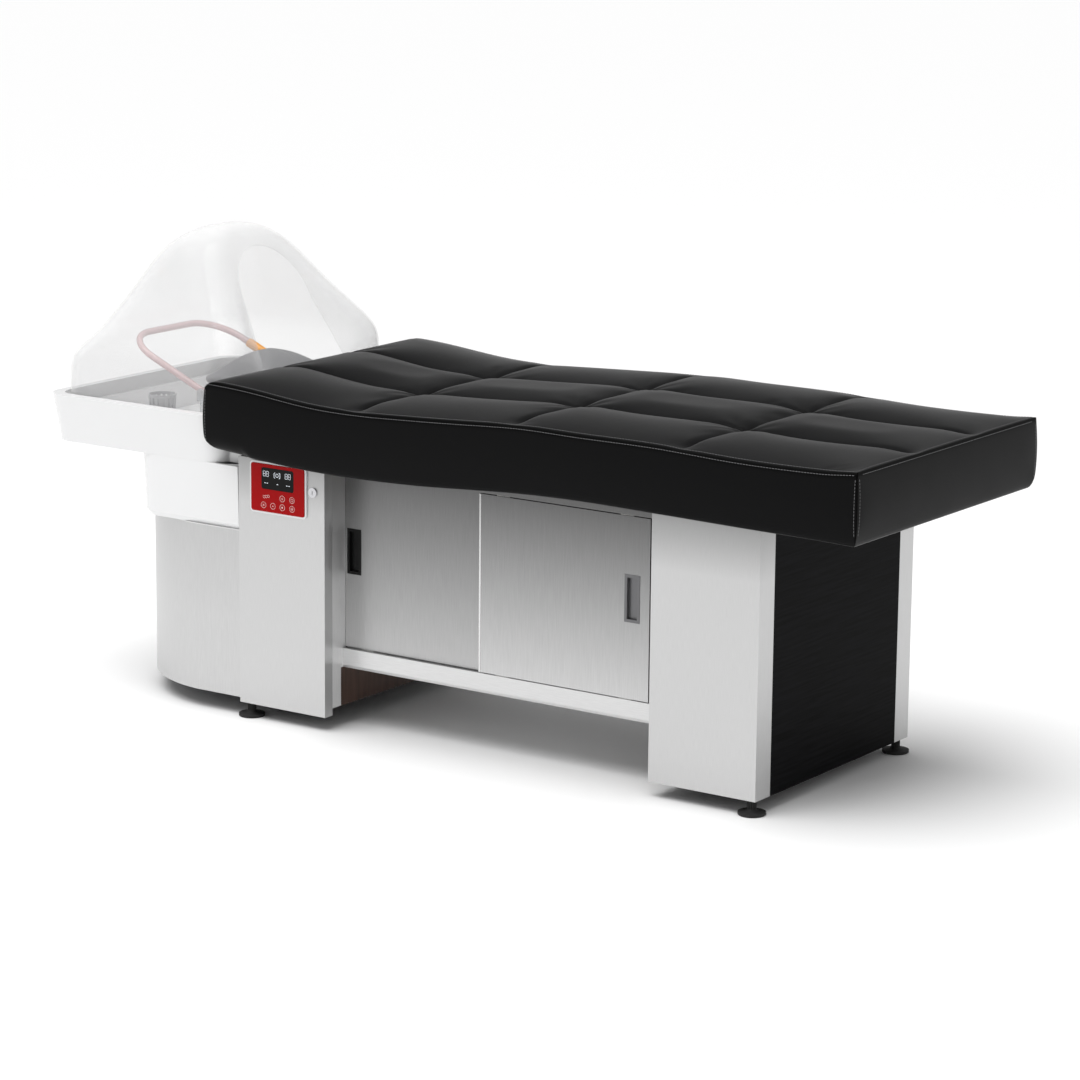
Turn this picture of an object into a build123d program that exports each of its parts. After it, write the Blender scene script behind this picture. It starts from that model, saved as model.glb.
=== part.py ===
from build123d import *
import math
import os

# A hair washing bed: a quilted couch on two steel-clad pedestals with a sliding-door
# cabinet between them, and a water basin with a clear hood at the head end.
# X runs from the basin to the foot end, Y from the front to the back, Z up from the floor.

# Driving sizes, in millimetres
DEPTH = 580.0
FOOT_PEDESTAL = 240.0
DOOR_OPENING = 750.0
STILE = 15.0
HEAD_PEDESTAL = 220.0
BASIN_REACH = 512.0
HEAD_OVERHANG = 45.0
FOOT_OVERHANG = 235.0
SIDE_OVERHANG = 60.0
COUCH_THICKNESS = 150.0
HEAD_TOP = 545.0
FOOT_TOP = 564.0
FOOT_CLEARANCE = 30.0
HEAD_CLEARANCE = 45.0
SHEET = 2.0
PANEL = 4.0
LEG = 30.0
TUBE_WALL = 2.0
RETURN_DEPTH = 53.0
BASIN_DEPTH = 100.0
TANK_DEPTH = 131.0
HOOD_HEIGHT = 380.0
HOOD_SEAT = 30.0
NECK_REST_WIDTH = 250.0
NECK_REST_LENGTH = 180.0
CLEAR = 0.3
RUNNING = 0.05
OVERRUN = 5.0

# Places that several pieces share
CABINET_LENGTH = DOOR_OPENING + 2 * STILE
PEDESTAL_SPAN = HEAD_PEDESTAL + CABINET_LENGTH + FOOT_PEDESTAL
TOTAL_LENGTH = BASIN_REACH + PEDESTAL_SPAN + FOOT_OVERHANG
COUCH_LENGTH = HEAD_OVERHANG + PEDESTAL_SPAN + FOOT_OVERHANG
COUCH_WIDTH = DEPTH + 2 * SIDE_OVERHANG
X_TIP = -TOTAL_LENGTH / 2
X_HEAD = X_TIP + BASIN_REACH
X_CABINET = X_HEAD + HEAD_PEDESTAL
X_FOOT = X_CABINET + CABINET_LENGTH
X_END = X_FOOT + FOOT_PEDESTAL
X_COUCH = X_HEAD - HEAD_OVERHANG
Y_FRONT = -DEPTH / 2
Y_RETURN = DEPTH / 2 - RETURN_DEPTH
LEG_INSET = SHEET + LEG / 2
RAIL = LEG - 2 * (PANEL - SHEET)
Y_LEG = DEPTH / 2 - LEG_INSET

os.makedirs("parts", exist_ok=True)
nodes = {}


def block(x0, x1, y0, y1, z0, z1):
    """A box between two corners."""
    return Pos((x0 + x1) / 2, (y0 + y1) / 2, (z0 + z1) / 2) * Box(x1 - x0, y1 - y0, z1 - z0)


def rod(diameter, start, end):
    """A round bar from one point to another."""
    path = Vector(*end) - Vector(*start)
    plane = Plane(origin=start, z_dir=path.normalized())
    return extrude(plane * Circle(diameter / 2), path.length)


def both_sides(shape):
    """The shape and its mirror image across the bed's middle plane."""
    return shape + mirror(shape, Plane.XZ)


def tube_run(x0, x1, y0, y1, z0, z1):
    """The outside and the bore of one square tube, as a pair of boxes."""
    wall = TUBE_WALL
    longest = max(x1 - x0, y1 - y0, z1 - z0)
    dx = 0 if x1 - x0 == longest else wall
    dy = 0 if y1 - y0 == longest else wall
    dz = 0 if z1 - z0 == longest else wall
    return block(x0, x1, y0, y1, z0, z1), block(x0 + dx, x1 - dx, y0 + dy, y1 - dy, z0 + dz, z1 - dz)


# Levelling feet: a rubber disc, a fluted neck and a threaded stem
FOOT_DISC = 54.0
FOOT_DISC_HEIGHT = 9.0
FOOT_NECK = 18.0
FOOT_STEM = 10.0
STEM_REACH = 22.0
FOOT_PLATE = 4.0
FLUTES = 12
FLUTE = 3.0
NECK_GAP = 3.0


def levelling_foot(x, y, clearance):
    """One foot at a leg, its neck and stem as long as the clearance asks."""
    neck_top = clearance - NECK_GAP
    disc_edge = FOOT_DISC_HEIGHT / 3
    profile = make_face(Polyline(
        (0, 0),
        (FOOT_DISC / 2 - disc_edge / 2, 0),
        (FOOT_DISC / 2, disc_edge / 2),
        (FOOT_DISC / 2, disc_edge * 2),
        (FOOT_NECK / 2 + disc_edge, FOOT_DISC_HEIGHT),
        (FOOT_NECK / 2, FOOT_DISC_HEIGHT + disc_edge),
        (FOOT_NECK / 2, neck_top),
        (FOOT_STEM / 2, neck_top),
        (FOOT_STEM / 2, clearance + STEM_REACH),
        (0, clearance + STEM_REACH),
        (0, 0),
    ))
    foot = revolve(Plane.XZ * profile, Axis.Z)
    flute = Pos(0, 0, FOOT_DISC_HEIGHT + disc_edge) * Cylinder(
        FLUTE / 2, neck_top, align=(Align.CENTER, Align.CENTER, Align.MIN))
    foot -= PolarLocations(FOOT_NECK / 2, FLUTES) * flute
    return Pos(x, y, 0) * foot


X_HEAD_FOOT = X_HEAD + LEG_INSET
X_END_FOOT = X_END - LEG_INSET
nodes["head_front_foot"] = levelling_foot(X_HEAD_FOOT, -Y_LEG, HEAD_CLEARANCE)
nodes["head_rear_foot"] = levelling_foot(X_HEAD_FOOT, Y_LEG, HEAD_CLEARANCE)
nodes["end_front_foot"] = levelling_foot(X_END_FOOT, -Y_LEG, FOOT_CLEARANCE)
nodes["end_rear_foot"] = levelling_foot(X_END_FOOT, Y_LEG, FOOT_CLEARANCE)

# Pedestal frames: four square legs between two rings of lighter tube
BOLT = 8.0
BOLT_HEAD = 14.0
BOLT_HEAD_HEIGHT = 5.0
BOLT_Y_SHARE = 0.27
BOARD = 15.0
SET_BACK = 34.0


def pedestal_frame(x0, x1, bottom, top, front_set_back, foot_x):
    """Legs at the corners, the front pair set back by front_set_back, on a full bottom ring."""
    xs = (x0 + LEG_INSET, x1 - LEG_INSET)
    front = -Y_LEG + front_set_back
    runs = []
    for x in xs:
        for y in (front, Y_LEG):
            runs.append(tube_run(x - LEG / 2, x + LEG / 2, y - LEG / 2, y + LEG / 2, bottom, top))
        runs.append(tube_run(x - RAIL / 2, x + RAIL / 2, -Y_LEG, Y_LEG, bottom, bottom + RAIL))
        runs.append(tube_run(x - RAIL / 2, x + RAIL / 2, front, Y_LEG, top - RAIL, top))
    for y in (-Y_LEG, Y_LEG):
        runs.append(tube_run(xs[0], xs[1], y - RAIL / 2, y + RAIL / 2, bottom, bottom + RAIL))
    for y in (front, Y_LEG):
        runs.append(tube_run(xs[0], xs[1], y - RAIL / 2, y + RAIL / 2, top - RAIL, top))
    frame = Part() + [outside for outside, bore in runs]
    corner = RAIL / 2
    if front_set_back:
        for x in xs:
            frame += block(x - corner, x + corner, -Y_LEG - corner, -Y_LEG + corner, bottom, bottom + RAIL)
    frame -= [bore for outside, bore in runs]
    stem_bore = FOOT_STEM + 2 * RUNNING
    for y in (-Y_LEG, Y_LEG):
        frame += block(foot_x - corner, foot_x + corner, y - corner, y + corner, bottom, bottom + FOOT_PLATE)
        frame -= rod(stem_bore, (foot_x, y, bottom - OVERRUN), (foot_x, y, bottom + RAIL - TUBE_WALL))
    for x in xs:
        for y in (-DEPTH * BOLT_Y_SHARE, DEPTH * BOLT_Y_SHARE):
            frame -= rod(BOLT + 2 * CLEAR, (x, y, top - RAIL - OVERRUN), (x, y, top + OVERRUN))
    return frame


foot_frame = pedestal_frame(X_FOOT, X_END, FOOT_CLEARANCE, FOOT_TOP, 0, X_END_FOOT)
head_frame = pedestal_frame(X_HEAD, X_CABINET, HEAD_CLEARANCE, HEAD_TOP, SET_BACK, X_HEAD_FOOT)

# Steel covers with folded returns, and the panels between the returns


def folded_cover(x0, x1, bottom, top):
    """A front sheet folded back at both ends."""
    cover = block(x0, x1, Y_FRONT, -Y_RETURN, bottom, top)
    return cover - block(x0 + SHEET, x1 - SHEET, Y_FRONT + SHEET, OVERRUN - Y_RETURN, bottom - OVERRUN,
                         top + OVERRUN)


def side_panel(x0, x1, bottom, top):
    """A board that fills an end of a pedestal between two returns."""
    return block(x0, x1, CLEAR - Y_RETURN, Y_RETURN - CLEAR, bottom, top)


def leg_rebate(x0, x1):
    """The room that the set-back front legs take in the inner face of a head panel."""
    y_leg = SET_BACK - Y_LEG
    return block(x0, x1, y_leg - LEG / 2 - CLEAR, y_leg + LEG / 2 + CLEAR, HEAD_CLEARANCE - OVERRUN,
                 HEAD_TOP + OVERRUN)


foot_cover = folded_cover(X_FOOT, X_END, FOOT_CLEARANCE, FOOT_TOP)
rear_cover = mirror(folded_cover(X_HEAD, X_CABINET, HEAD_CLEARANCE, HEAD_TOP), Plane.XZ)
nodes["foot_end_panel"] = side_panel(X_END - PANEL, X_END, FOOT_CLEARANCE, FOOT_TOP)
nodes["foot_inner_panel"] = side_panel(X_FOOT, X_FOOT + PANEL, FOOT_CLEARANCE, FOOT_TOP)
inner_panel = side_panel(X_CABINET - PANEL, X_CABINET, HEAD_CLEARANCE, HEAD_TOP)
basin_panel = side_panel(X_HEAD, X_HEAD + PANEL, HEAD_CLEARANCE, HEAD_TOP)
nodes["head_inner_panel"] = inner_panel - leg_rebate(X_CABINET - PANEL - OVERRUN, X_CABINET - SHEET)
nodes["head_basin_panel"] = basin_panel - leg_rebate(X_HEAD + SHEET, X_HEAD + PANEL + OVERRUN)

# Dome screws that hold the foot pedestal's inner returns
SCREW_HEAD = 9.0
SCREW_SHANK = 4.0
SCREW_LENGTH = 8.0
SCREW_Y = DEPTH / 2 - LEG_INSET
SCREW_HEIGHT = 326.0
SCREW_SPACING = 28.0


def dome_screw(z):
    """A dome head outside the return, and its shank through return and leg wall."""
    half = SCREW_HEAD / 2
    dome = Sphere(half) & Box(half, SCREW_HEAD, SCREW_HEAD, align=(Align.MAX, Align.CENTER, Align.CENTER))
    head = Pos(X_FOOT, -SCREW_Y, z) * dome
    return head + rod(SCREW_SHANK, (X_FOOT, -SCREW_Y, z), (X_FOOT + SCREW_LENGTH, -SCREW_Y, z))


screws = Part()
for z in (SCREW_HEIGHT - SCREW_SPACING / 2, SCREW_HEIGHT + SCREW_SPACING / 2):
    screws += both_sides(dome_screw(z))
    hole = both_sides(rod(SCREW_SHANK + 2 * CLEAR, (X_FOOT - OVERRUN, -SCREW_Y, z),
                          (X_FOOT + SCREW_LENGTH + OVERRUN, -SCREW_Y, z)))
    foot_frame -= hole
    foot_cover -= hole
nodes["return_screws"] = screws
nodes["foot_frame"] = foot_frame
nodes["foot_front_cover"] = foot_cover
nodes["foot_rear_cover"] = mirror(foot_cover, Plane.XZ)

# Power inlet in the rear cover of the head pedestal, and the supply behind it
INLET_WIDTH = 28.0
INLET_HEIGHT = 20.0
INLET_FLANGE = 3.0
INLET_DEPTH = 18.0
INLET_UP = 110.0
INLET_RECESS_SHARE = 0.72
PIN = 2.0
PIN_PITCH = 7.0
x_inlet = (X_HEAD + X_CABINET) / 2
z_inlet = HEAD_CLEARANCE + INLET_UP
half_w = INLET_WIDTH / 2
half_h = INLET_HEIGHT / 2
y_rear = DEPTH / 2
rear_cover -= block(x_inlet - half_w - CLEAR, x_inlet + half_w + CLEAR, y_rear - SHEET - OVERRUN,
                    y_rear + OVERRUN, z_inlet - half_h - CLEAR, z_inlet + half_h + CLEAR)
inlet = block(x_inlet - half_w, x_inlet + half_w, y_rear - INLET_DEPTH, y_rear + INLET_FLANGE,
              z_inlet - half_h, z_inlet + half_h)
inlet += block(x_inlet - half_w - INLET_FLANGE, x_inlet + half_w + INLET_FLANGE, y_rear,
               y_rear + INLET_FLANGE, z_inlet - half_h - INLET_FLANGE, z_inlet + half_h + INLET_FLANGE)
recess_w = half_w * INLET_RECESS_SHARE
recess_h = half_h * INLET_RECESS_SHARE
inlet -= block(x_inlet - recess_w, x_inlet + recess_w, y_rear - INLET_DEPTH + INLET_FLANGE, y_rear + OVERRUN,
               z_inlet - recess_h, z_inlet + recess_h)
for step in (-1, 0, 1):
    x = x_inlet + step * PIN_PITCH
    inlet += block(x - PIN / 2, x + PIN / 2, y_rear - INLET_DEPTH, y_rear, z_inlet - PIN, z_inlet + PIN)
nodes["inlet_socket"] = inlet
nodes["head_rear_cover"] = rear_cover

SUPPLY_DEPTH = 55.0
SUPPLY_WIDTH = 140.0
SUPPLY_HEIGHT = 120.0
SUPPLY_Y = 110.0
SUPPLY_UP = 160.0
FIN = 4.0
FINS = 8
x_supply = X_HEAD + PANEL
z_supply = HEAD_CLEARANCE + SUPPLY_UP
supply = block(x_supply, x_supply + SUPPLY_DEPTH, SUPPLY_Y - SUPPLY_WIDTH / 2, SUPPLY_Y + SUPPLY_WIDTH / 2,
               z_supply, z_supply + SUPPLY_HEIGHT)
for i in range(FINS):
    y = SUPPLY_Y + (i + 0.5 - FINS / 2) * SUPPLY_WIDTH / (FINS + 1)
    supply -= block(x_supply + SUPPLY_DEPTH - 2 * FIN, x_supply + SUPPLY_DEPTH + OVERRUN, y - FIN / 2,
                    y + FIN / 2, z_supply + FIN, z_supply + SUPPLY_HEIGHT - FIN)
nodes["power_supply"] = supply

# Service door of the head pedestal: a shallow steel pan that swings on two pins
DOOR_LIP = 25.0
HINGE_INSET = 5.0
HINGE_PIN = 5.0
HINGE_EYE = 10.0
DOOR_DROP = 15.0
BRACKET = 6.0
FLANGE = 12.0
door_bottom = HEAD_CLEARANCE - DOOR_DROP
door_top = HEAD_TOP - CLEAR
x_hinge = X_HEAD + HINGE_INSET
y_hinge = Y_FRONT + HINGE_INSET
lug_top = door_top - BRACKET - 2 * CLEAR
service = block(X_HEAD, X_CABINET, Y_FRONT, Y_FRONT + SHEET, door_bottom, door_top)
service += block(X_CABINET - SHEET, X_CABINET, Y_FRONT, Y_FRONT + DOOR_LIP, door_bottom, door_top)
x_eye = x_hinge + HINGE_EYE / 2
y_eye = y_hinge + HINGE_EYE / 2
# the hinge lip is notched where the frame's bottom ring passes, and ends under the bracket
service += block(X_HEAD, X_HEAD + SHEET, Y_FRONT, y_eye, door_bottom, HEAD_CLEARANCE - CLEAR)
service += block(X_HEAD, X_HEAD + SHEET, Y_FRONT, y_eye, HEAD_CLEARANCE + RAIL + CLEAR, lug_top)
service += block(X_HEAD, x_eye, Y_FRONT, y_eye, door_bottom, door_bottom + SHEET)
service += block(X_HEAD, x_eye, Y_FRONT, y_eye, lug_top - 2 * SHEET, lug_top)
service -= rod(HINGE_PIN + 2 * RUNNING, (x_hinge, y_hinge, door_bottom - OVERRUN),
               (x_hinge, y_hinge, HEAD_TOP))

pin_bottom = rod(HINGE_PIN, (x_hinge, y_hinge, door_bottom), (x_hinge, y_hinge, HEAD_CLEARANCE))
pin_top = rod(HINGE_PIN, (x_hinge, y_hinge, lug_top - 2 * SHEET), (x_hinge, y_hinge, HEAD_TOP - BRACKET))
x_arm = X_HEAD_FOOT + RAIL / 2
y_arm = SET_BACK - Y_LEG - LEG / 2
# the arm is no wider than the pin on the side that the door swings past
arm = rod(HINGE_PIN, (x_hinge, y_hinge, HEAD_TOP - BRACKET), (x_hinge, y_hinge, HEAD_TOP))
arm += block(x_hinge - HINGE_PIN / 2, x_arm, y_hinge, y_arm, HEAD_TOP - BRACKET, HEAD_TOP)
arm += block(x_hinge, x_arm, y_hinge - HINGE_PIN / 2, y_hinge, HEAD_TOP - BRACKET, HEAD_TOP)
nodes["hinge_pins"] = pin_bottom + (pin_top + arm)

jamb_front = Y_FRONT + DOOR_LIP + CLEAR
y_jamb = y_hinge + HINGE_EYE - HINGE_PIN / 2
hinge_jamb = block(X_HEAD, X_HEAD + SHEET, y_jamb, -Y_RETURN, HEAD_CLEARANCE, HEAD_TOP)
lock_jamb = block(X_CABINET - SHEET, X_CABINET, jamb_front, -Y_RETURN, HEAD_CLEARANCE, HEAD_TOP)
nodes["lock_strike"] = block(X_CABINET - FLANGE, X_CABINET - SHEET, jamb_front, jamb_front + SHEET,
                             HEAD_CLEARANCE + RAIL, HEAD_TOP)
nodes["head_jambs"] = hinge_jamb + lock_jamb
nodes["head_frame"] = head_frame

# Control panel on the service door: bezel, sloping red plate, display and board
PLATE_LENGTH = 136.0
PLATE_HEIGHT = 98.0
PLATE_LEFT = 36.5
PLATE_DROP = 8.0
PLATE_THICKNESS = 3.0
BEZEL = 4.0
BEZEL_THICKNESS = 2.0
PLATE_RADIUS = 5.0
DISPLAY_LENGTH = 82.0
DISPLAY_HEIGHT = 44.0
DISPLAY_LEFT = 27.0
DISPLAY_UP = 47.0
BOARD_DEPTH = 14.0
BOARD_INSET = 8.0
x_plate = X_HEAD + PLATE_LEFT
z_plate = HEAD_TOP - PLATE_DROP - PLATE_HEIGHT


def front_slab(x0, x1, z0, z1, y0, y1, radius):
    """A slab with rounded corners that lies on the service door's face."""
    plane = Plane(origin=((x0 + x1) / 2, y1, (z0 + z1) / 2), x_dir=(1, 0, 0), z_dir=(0, -1, 0))
    return extrude(plane * RectangleRounded(x1 - x0, z1 - z0, radius), y1 - y0)


y_bezel = Y_FRONT - BEZEL_THICKNESS
y_plate = y_bezel - PLATE_THICKNESS
bezel = front_slab(x_plate - BEZEL, x_plate + PLATE_LENGTH + BEZEL, z_plate - BEZEL,
                   z_plate + PLATE_HEIGHT + BEZEL, y_bezel - PLATE_THICKNESS / 2, Y_FRONT,
                   PLATE_RADIUS + BEZEL)
bezel -= front_slab(x_plate - CLEAR, x_plate + PLATE_LENGTH + CLEAR, z_plate - CLEAR,
                    z_plate + PLATE_HEIGHT + CLEAR, y_plate, y_bezel, PLATE_RADIUS)
plate = front_slab(x_plate, x_plate + PLATE_LENGTH, z_plate, z_plate + PLATE_HEIGHT, y_plate, y_bezel,
                   PLATE_RADIUS)
x_display = x_plate + DISPLAY_LEFT
z_display = z_plate + DISPLAY_UP
window = front_slab(x_display - CLEAR, x_display + DISPLAY_LENGTH + CLEAR, z_display - CLEAR,
                    z_display + DISPLAY_HEIGHT + CLEAR, y_plate - OVERRUN, Y_FRONT + SHEET + OVERRUN,
                    PLATE_RADIUS)
display = front_slab(x_display, x_display + DISPLAY_LENGTH, z_display, z_display + DISPLAY_HEIGHT,
                     y_plate, Y_FRONT + SHEET + CLEAR, PLATE_RADIUS)
x_board = x_plate + BOARD_INSET
z_board = z_plate + BOARD_INSET
board_front = Y_FRONT + SHEET + CLEAR
board = block(x_board, x_plate + PLATE_LENGTH - BOARD_INSET, board_front, board_front + BOARD_DEPTH,
              z_board, z_plate + PLATE_HEIGHT - BOARD_INSET)
nodes["control_bezel"] = bezel - window
nodes["control_plate"] = plate - window
nodes["display"] = display
nodes["control_board"] = board
service -= window

# Cam lock beside the panel: a fixed barrel, and a plug whose cam turns behind the jamb
LOCK_FROM_EDGE = 28.5
LOCK_RISE = 4.0
LOCK_FACE = 20.0
LOCK_FACE_DEPTH = 3.0
LOCK_BARREL = 16.0
LOCK_PLUG = 11.0
KEYWAY = 1.5
CAM_WIDTH = 9.0
CAM_THICKNESS = 2.5
CAM_PLAY = 1.0
x_lock = X_CABINET - LOCK_FROM_EDGE
z_lock = z_plate + PLATE_HEIGHT / 2 + LOCK_RISE
y_cam = jamb_front + SHEET + CLEAR
cam_reach = LOCK_FROM_EDGE - SHEET - CAM_WIDTH / 2 - CAM_PLAY
lock_face = Y_FRONT - LOCK_FACE_DEPTH
barrel = rod(LOCK_FACE, (x_lock, lock_face, z_lock), (x_lock, Y_FRONT, z_lock))
barrel += rod(LOCK_BARREL, (x_lock, Y_FRONT, z_lock), (x_lock, y_cam - CLEAR, z_lock))
barrel -= rod(LOCK_PLUG + 2 * RUNNING, (x_lock, lock_face - OVERRUN, z_lock),
              (x_lock, y_cam + OVERRUN, z_lock))
service -= rod(LOCK_BARREL + 2 * RUNNING, (x_lock, lock_face, z_lock), (x_lock, y_cam, z_lock))
plug = rod(LOCK_PLUG, (x_lock, lock_face, z_lock), (x_lock, y_cam, z_lock))
plug -= block(x_lock - KEYWAY / 2, x_lock + KEYWAY / 2, lock_face - OVERRUN, lock_face + 2 * LOCK_FACE_DEPTH,
              z_lock - LOCK_PLUG / 3, z_lock + LOCK_PLUG / 3)
cam_plane = Plane(origin=(x_lock, y_cam + CAM_THICKNESS, z_lock), x_dir=(1, 0, 0), z_dir=(0, -1, 0))
cam_outline = Pos(0, cam_reach / 2) * SlotOverall(cam_reach + CAM_WIDTH, CAM_WIDTH, rotation=90)
cam = extrude(cam_plane * cam_outline, CAM_THICKNESS)
nodes["lock_barrel"] = barrel
nodes["lock_plug"] = plug + cam
nodes["service_door"] = service

# Cabinet between the pedestals: rails, floor, back, stiles and the two door tracks
CABINET_FACE = 58.0
KICK_HEIGHT = 125.0
RAIL_HEIGHT = 40.0
DOOR_PAN = 8.0
TRACK_GAP = 2.0
TRACK_HEIGHT = 8.0
GROOVE = 4.0
GROOVE_DEPTH = 5.0
BED_RAIL = 30.0
HEM = 6.0
JAMB_STRIP = 17.0
y_web = Y_FRONT + CABINET_FACE
y_front_door = y_web
y_rear_door = y_front_door + DOOR_PAN + TRACK_GAP
y_track_back = y_rear_door + DOOR_PAN + TRACK_GAP
z_ledge = KICK_HEIGHT + RAIL_HEIGHT - TRACK_HEIGHT
z_rail_top = KICK_HEIGHT + RAIL_HEIGHT
z_head_track = HEAD_TOP - 2 * TRACK_HEIGHT
door_centres = (y_front_door + DOOR_PAN / 2, y_rear_door + DOOR_PAN / 2)

rail_profile = make_face(Polyline(
    (y_web, KICK_HEIGHT + HEM),
    (y_web + HEM / 2, KICK_HEIGHT),
    (y_track_back, KICK_HEIGHT),
    (y_track_back, KICK_HEIGHT + SHEET),
    (y_web + HEM / 2 + SHEET / 2, KICK_HEIGHT + SHEET),
    (y_web + SHEET, KICK_HEIGHT + HEM + SHEET / 2),
    (y_web + SHEET, z_ledge - SHEET),
    (y_track_back, z_ledge - SHEET),
    (y_track_back, z_ledge),
    (y_web + SHEET, z_ledge),
    (y_web + SHEET, z_rail_top),
    (y_web, z_rail_top),
    (y_web, KICK_HEIGHT + HEM),
))
nodes["bottom_rail"] = extrude(Plane.YZ.offset(X_CABINET) * rail_profile, CABINET_LENGTH)

# the lock jamb reaches back past both doors, and the inner panel makes room for it
strip_end = JAMB_STRIP - Y_RETURN
nodes["head_jambs"] += block(X_CABINET - SHEET, X_CABINET, -Y_RETURN, strip_end, KICK_HEIGHT, HEAD_TOP)
nodes["head_inner_panel"] -= block(X_CABINET - PANEL - OVERRUN, X_CABINET + OVERRUN, -Y_RETURN - OVERRUN,
                                   strip_end + CLEAR, KICK_HEIGHT - CLEAR, HEAD_TOP + OVERRUN)

lower_track = block(X_CABINET, X_FOOT, y_web + SHEET, y_track_back, z_ledge, z_rail_top)
upper_track = block(X_CABINET, X_FOOT, y_web, y_track_back, z_head_track, HEAD_TOP - TRACK_HEIGHT / 2)
for y in door_centres:
    lower_track -= block(X_CABINET - OVERRUN, X_FOOT + OVERRUN, y - GROOVE / 2, y + GROOVE / 2,
                         z_rail_top - GROOVE_DEPTH, z_rail_top + OVERRUN)
    upper_track -= block(X_CABINET - OVERRUN, X_FOOT + OVERRUN, y - GROOVE / 2, y + GROOVE / 2,
                         z_head_track - OVERRUN, z_head_track + 2 * GROOVE_DEPTH)
nodes["lower_track"] = lower_track
nodes["upper_track"] = upper_track

front_rail = block(X_CABINET, X_FOOT, y_track_back, y_track_back + BED_RAIL, HEAD_TOP - BED_RAIL, HEAD_TOP)
front_rail -= block(X_CABINET - OVERRUN, X_FOOT + OVERRUN, y_track_back + TUBE_WALL,
                    y_track_back + BED_RAIL - TUBE_WALL, HEAD_TOP - BED_RAIL + TUBE_WALL,
                    HEAD_TOP - TUBE_WALL)
nodes["bed_rails"] = both_sides(front_rail)

y_back = -y_track_back
nodes["cabinet_floor"] = block(X_CABINET, X_FOOT, y_track_back, y_back, z_ledge - SHEET, z_ledge)
nodes["cabinet_back"] = block(X_CABINET, X_FOOT, y_back, y_back + SHEET, KICK_HEIGHT, HEAD_TOP)


def stile(x0):
    """A hollow post behind the doors, from the cabinet floor to the bed rail."""
    y1 = y_track_back + BED_RAIL
    post = block(x0, x0 + STILE, y_track_back, y1, z_ledge, HEAD_TOP - BED_RAIL)
    return post - block(x0 + TUBE_WALL, x0 + STILE - TUBE_WALL, y_track_back + TUBE_WALL, y1 - TUBE_WALL,
                        z_ledge - OVERRUN, HEAD_TOP)


nodes["door_stiles"] = stile(X_CABINET) + stile(X_FOOT - STILE)

# Sliding doors: folded steel pans on nylon glides, with recessed pulls
DOOR_LENGTH = 400.0
DOOR_AJAR = 40.0
DOOR_SKIN = 1.5
DOOR_LIFT = 2.0
PULL_WIDTH = 35.0
PULL_HEIGHT = 94.0
PULL_UP = 319.0
PULL_FROM_EDGE = 22.0
LEFT_PULL_FROM_EDGE = 5.0
PULL_RIM = 3.0
PULL_PROUD = 0.8
GLIDE = 30.0
GLIDE_FROM_EDGE = 40.0
z_door = z_rail_top + DOOR_LIFT
z_door_top = z_head_track - DOOR_LIFT


def sliding_door(x0, y0, pull_x):
    """The pan, its recessed pull and its four glides."""
    x1 = x0 + DOOR_LENGTH
    y1 = y0 + DOOR_PAN
    pan = block(x0, x1, y0, y1, z_door, z_door_top)
    pan -= block(x0 + DOOR_SKIN, x1 - DOOR_SKIN, y0 + DOOR_SKIN, y1 + OVERRUN, z_door + DOOR_SKIN,
                 z_door_top - DOOR_SKIN)
    rim = PULL_RIM
    pull_end = pull_x + PULL_WIDTH
    pull_top = PULL_UP + PULL_HEIGHT
    pan -= block(pull_x + rim - CLEAR, pull_end - rim + CLEAR, y0 - OVERRUN, y0 + DOOR_SKIN + OVERRUN,
                 PULL_UP + rim - CLEAR, pull_top - rim + CLEAR)
    pull = block(pull_x, pull_end, y0 - PULL_PROUD, y0, PULL_UP, pull_top)
    pull += block(pull_x + rim, pull_end - rim, y0, y1 - PULL_PROUD, PULL_UP + rim, pull_top - rim)
    pull -= block(pull_x + 2 * rim, pull_end - 2 * rim, y0 - OVERRUN, y1 - 2 * PULL_PROUD, PULL_UP + 2 * rim,
                  pull_top - 2 * rim)
    middle = (y0 + y1) / 2
    half = GROOVE / 2 - CLEAR
    groove_floor = z_rail_top - GROOVE_DEPTH
    groove_roof = z_head_track + 2 * GROOVE_DEPTH
    glides = Part()
    for x in (x0 + GLIDE_FROM_EDGE, x1 - GLIDE_FROM_EDGE - GLIDE):
        glides += block(x, x + GLIDE, middle - half, middle + half, groove_floor + CLEAR, z_door)
        glides += block(x, x + GLIDE, middle - half, middle + half, z_door_top,
                        groove_roof - GROOVE_DEPTH / 2)
    return pan, pull, glides


x_right = X_FOOT - DOOR_AJAR - CLEAR - DOOR_LENGTH
x_left = X_CABINET + 2 * CLEAR
pull_right = x_right + DOOR_LENGTH - PULL_FROM_EDGE - PULL_WIDTH
pull_left = x_left + LEFT_PULL_FROM_EDGE
door, pull, glides = sliding_door(x_right, y_front_door, pull_right)
nodes.update({"right_door": door, "right_pull": pull, "right_glides": glides})
door, pull, glides = sliding_door(x_left, y_rear_door, pull_left)
nodes.update({"left_door": door, "left_pull": pull, "left_glides": glides})

# Couch: a bent plywood board, and a quilted cushion that wraps round its edges
COUCH_SEAM = 4.0
COUCH_SIDE = 5.0
COUCH_UNDERCUT = 10.0
COUCH_TOP = 702.0
COUCH_CROWN = 14.0
SEAM_ROWS_SHARE = 0.167
BOARD_INSET_SHARE = 0.045
BOARD_MARGIN = 3.0
BEND_START_SHARE = 0.248
BEND_END_SHARE = 0.511
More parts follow.
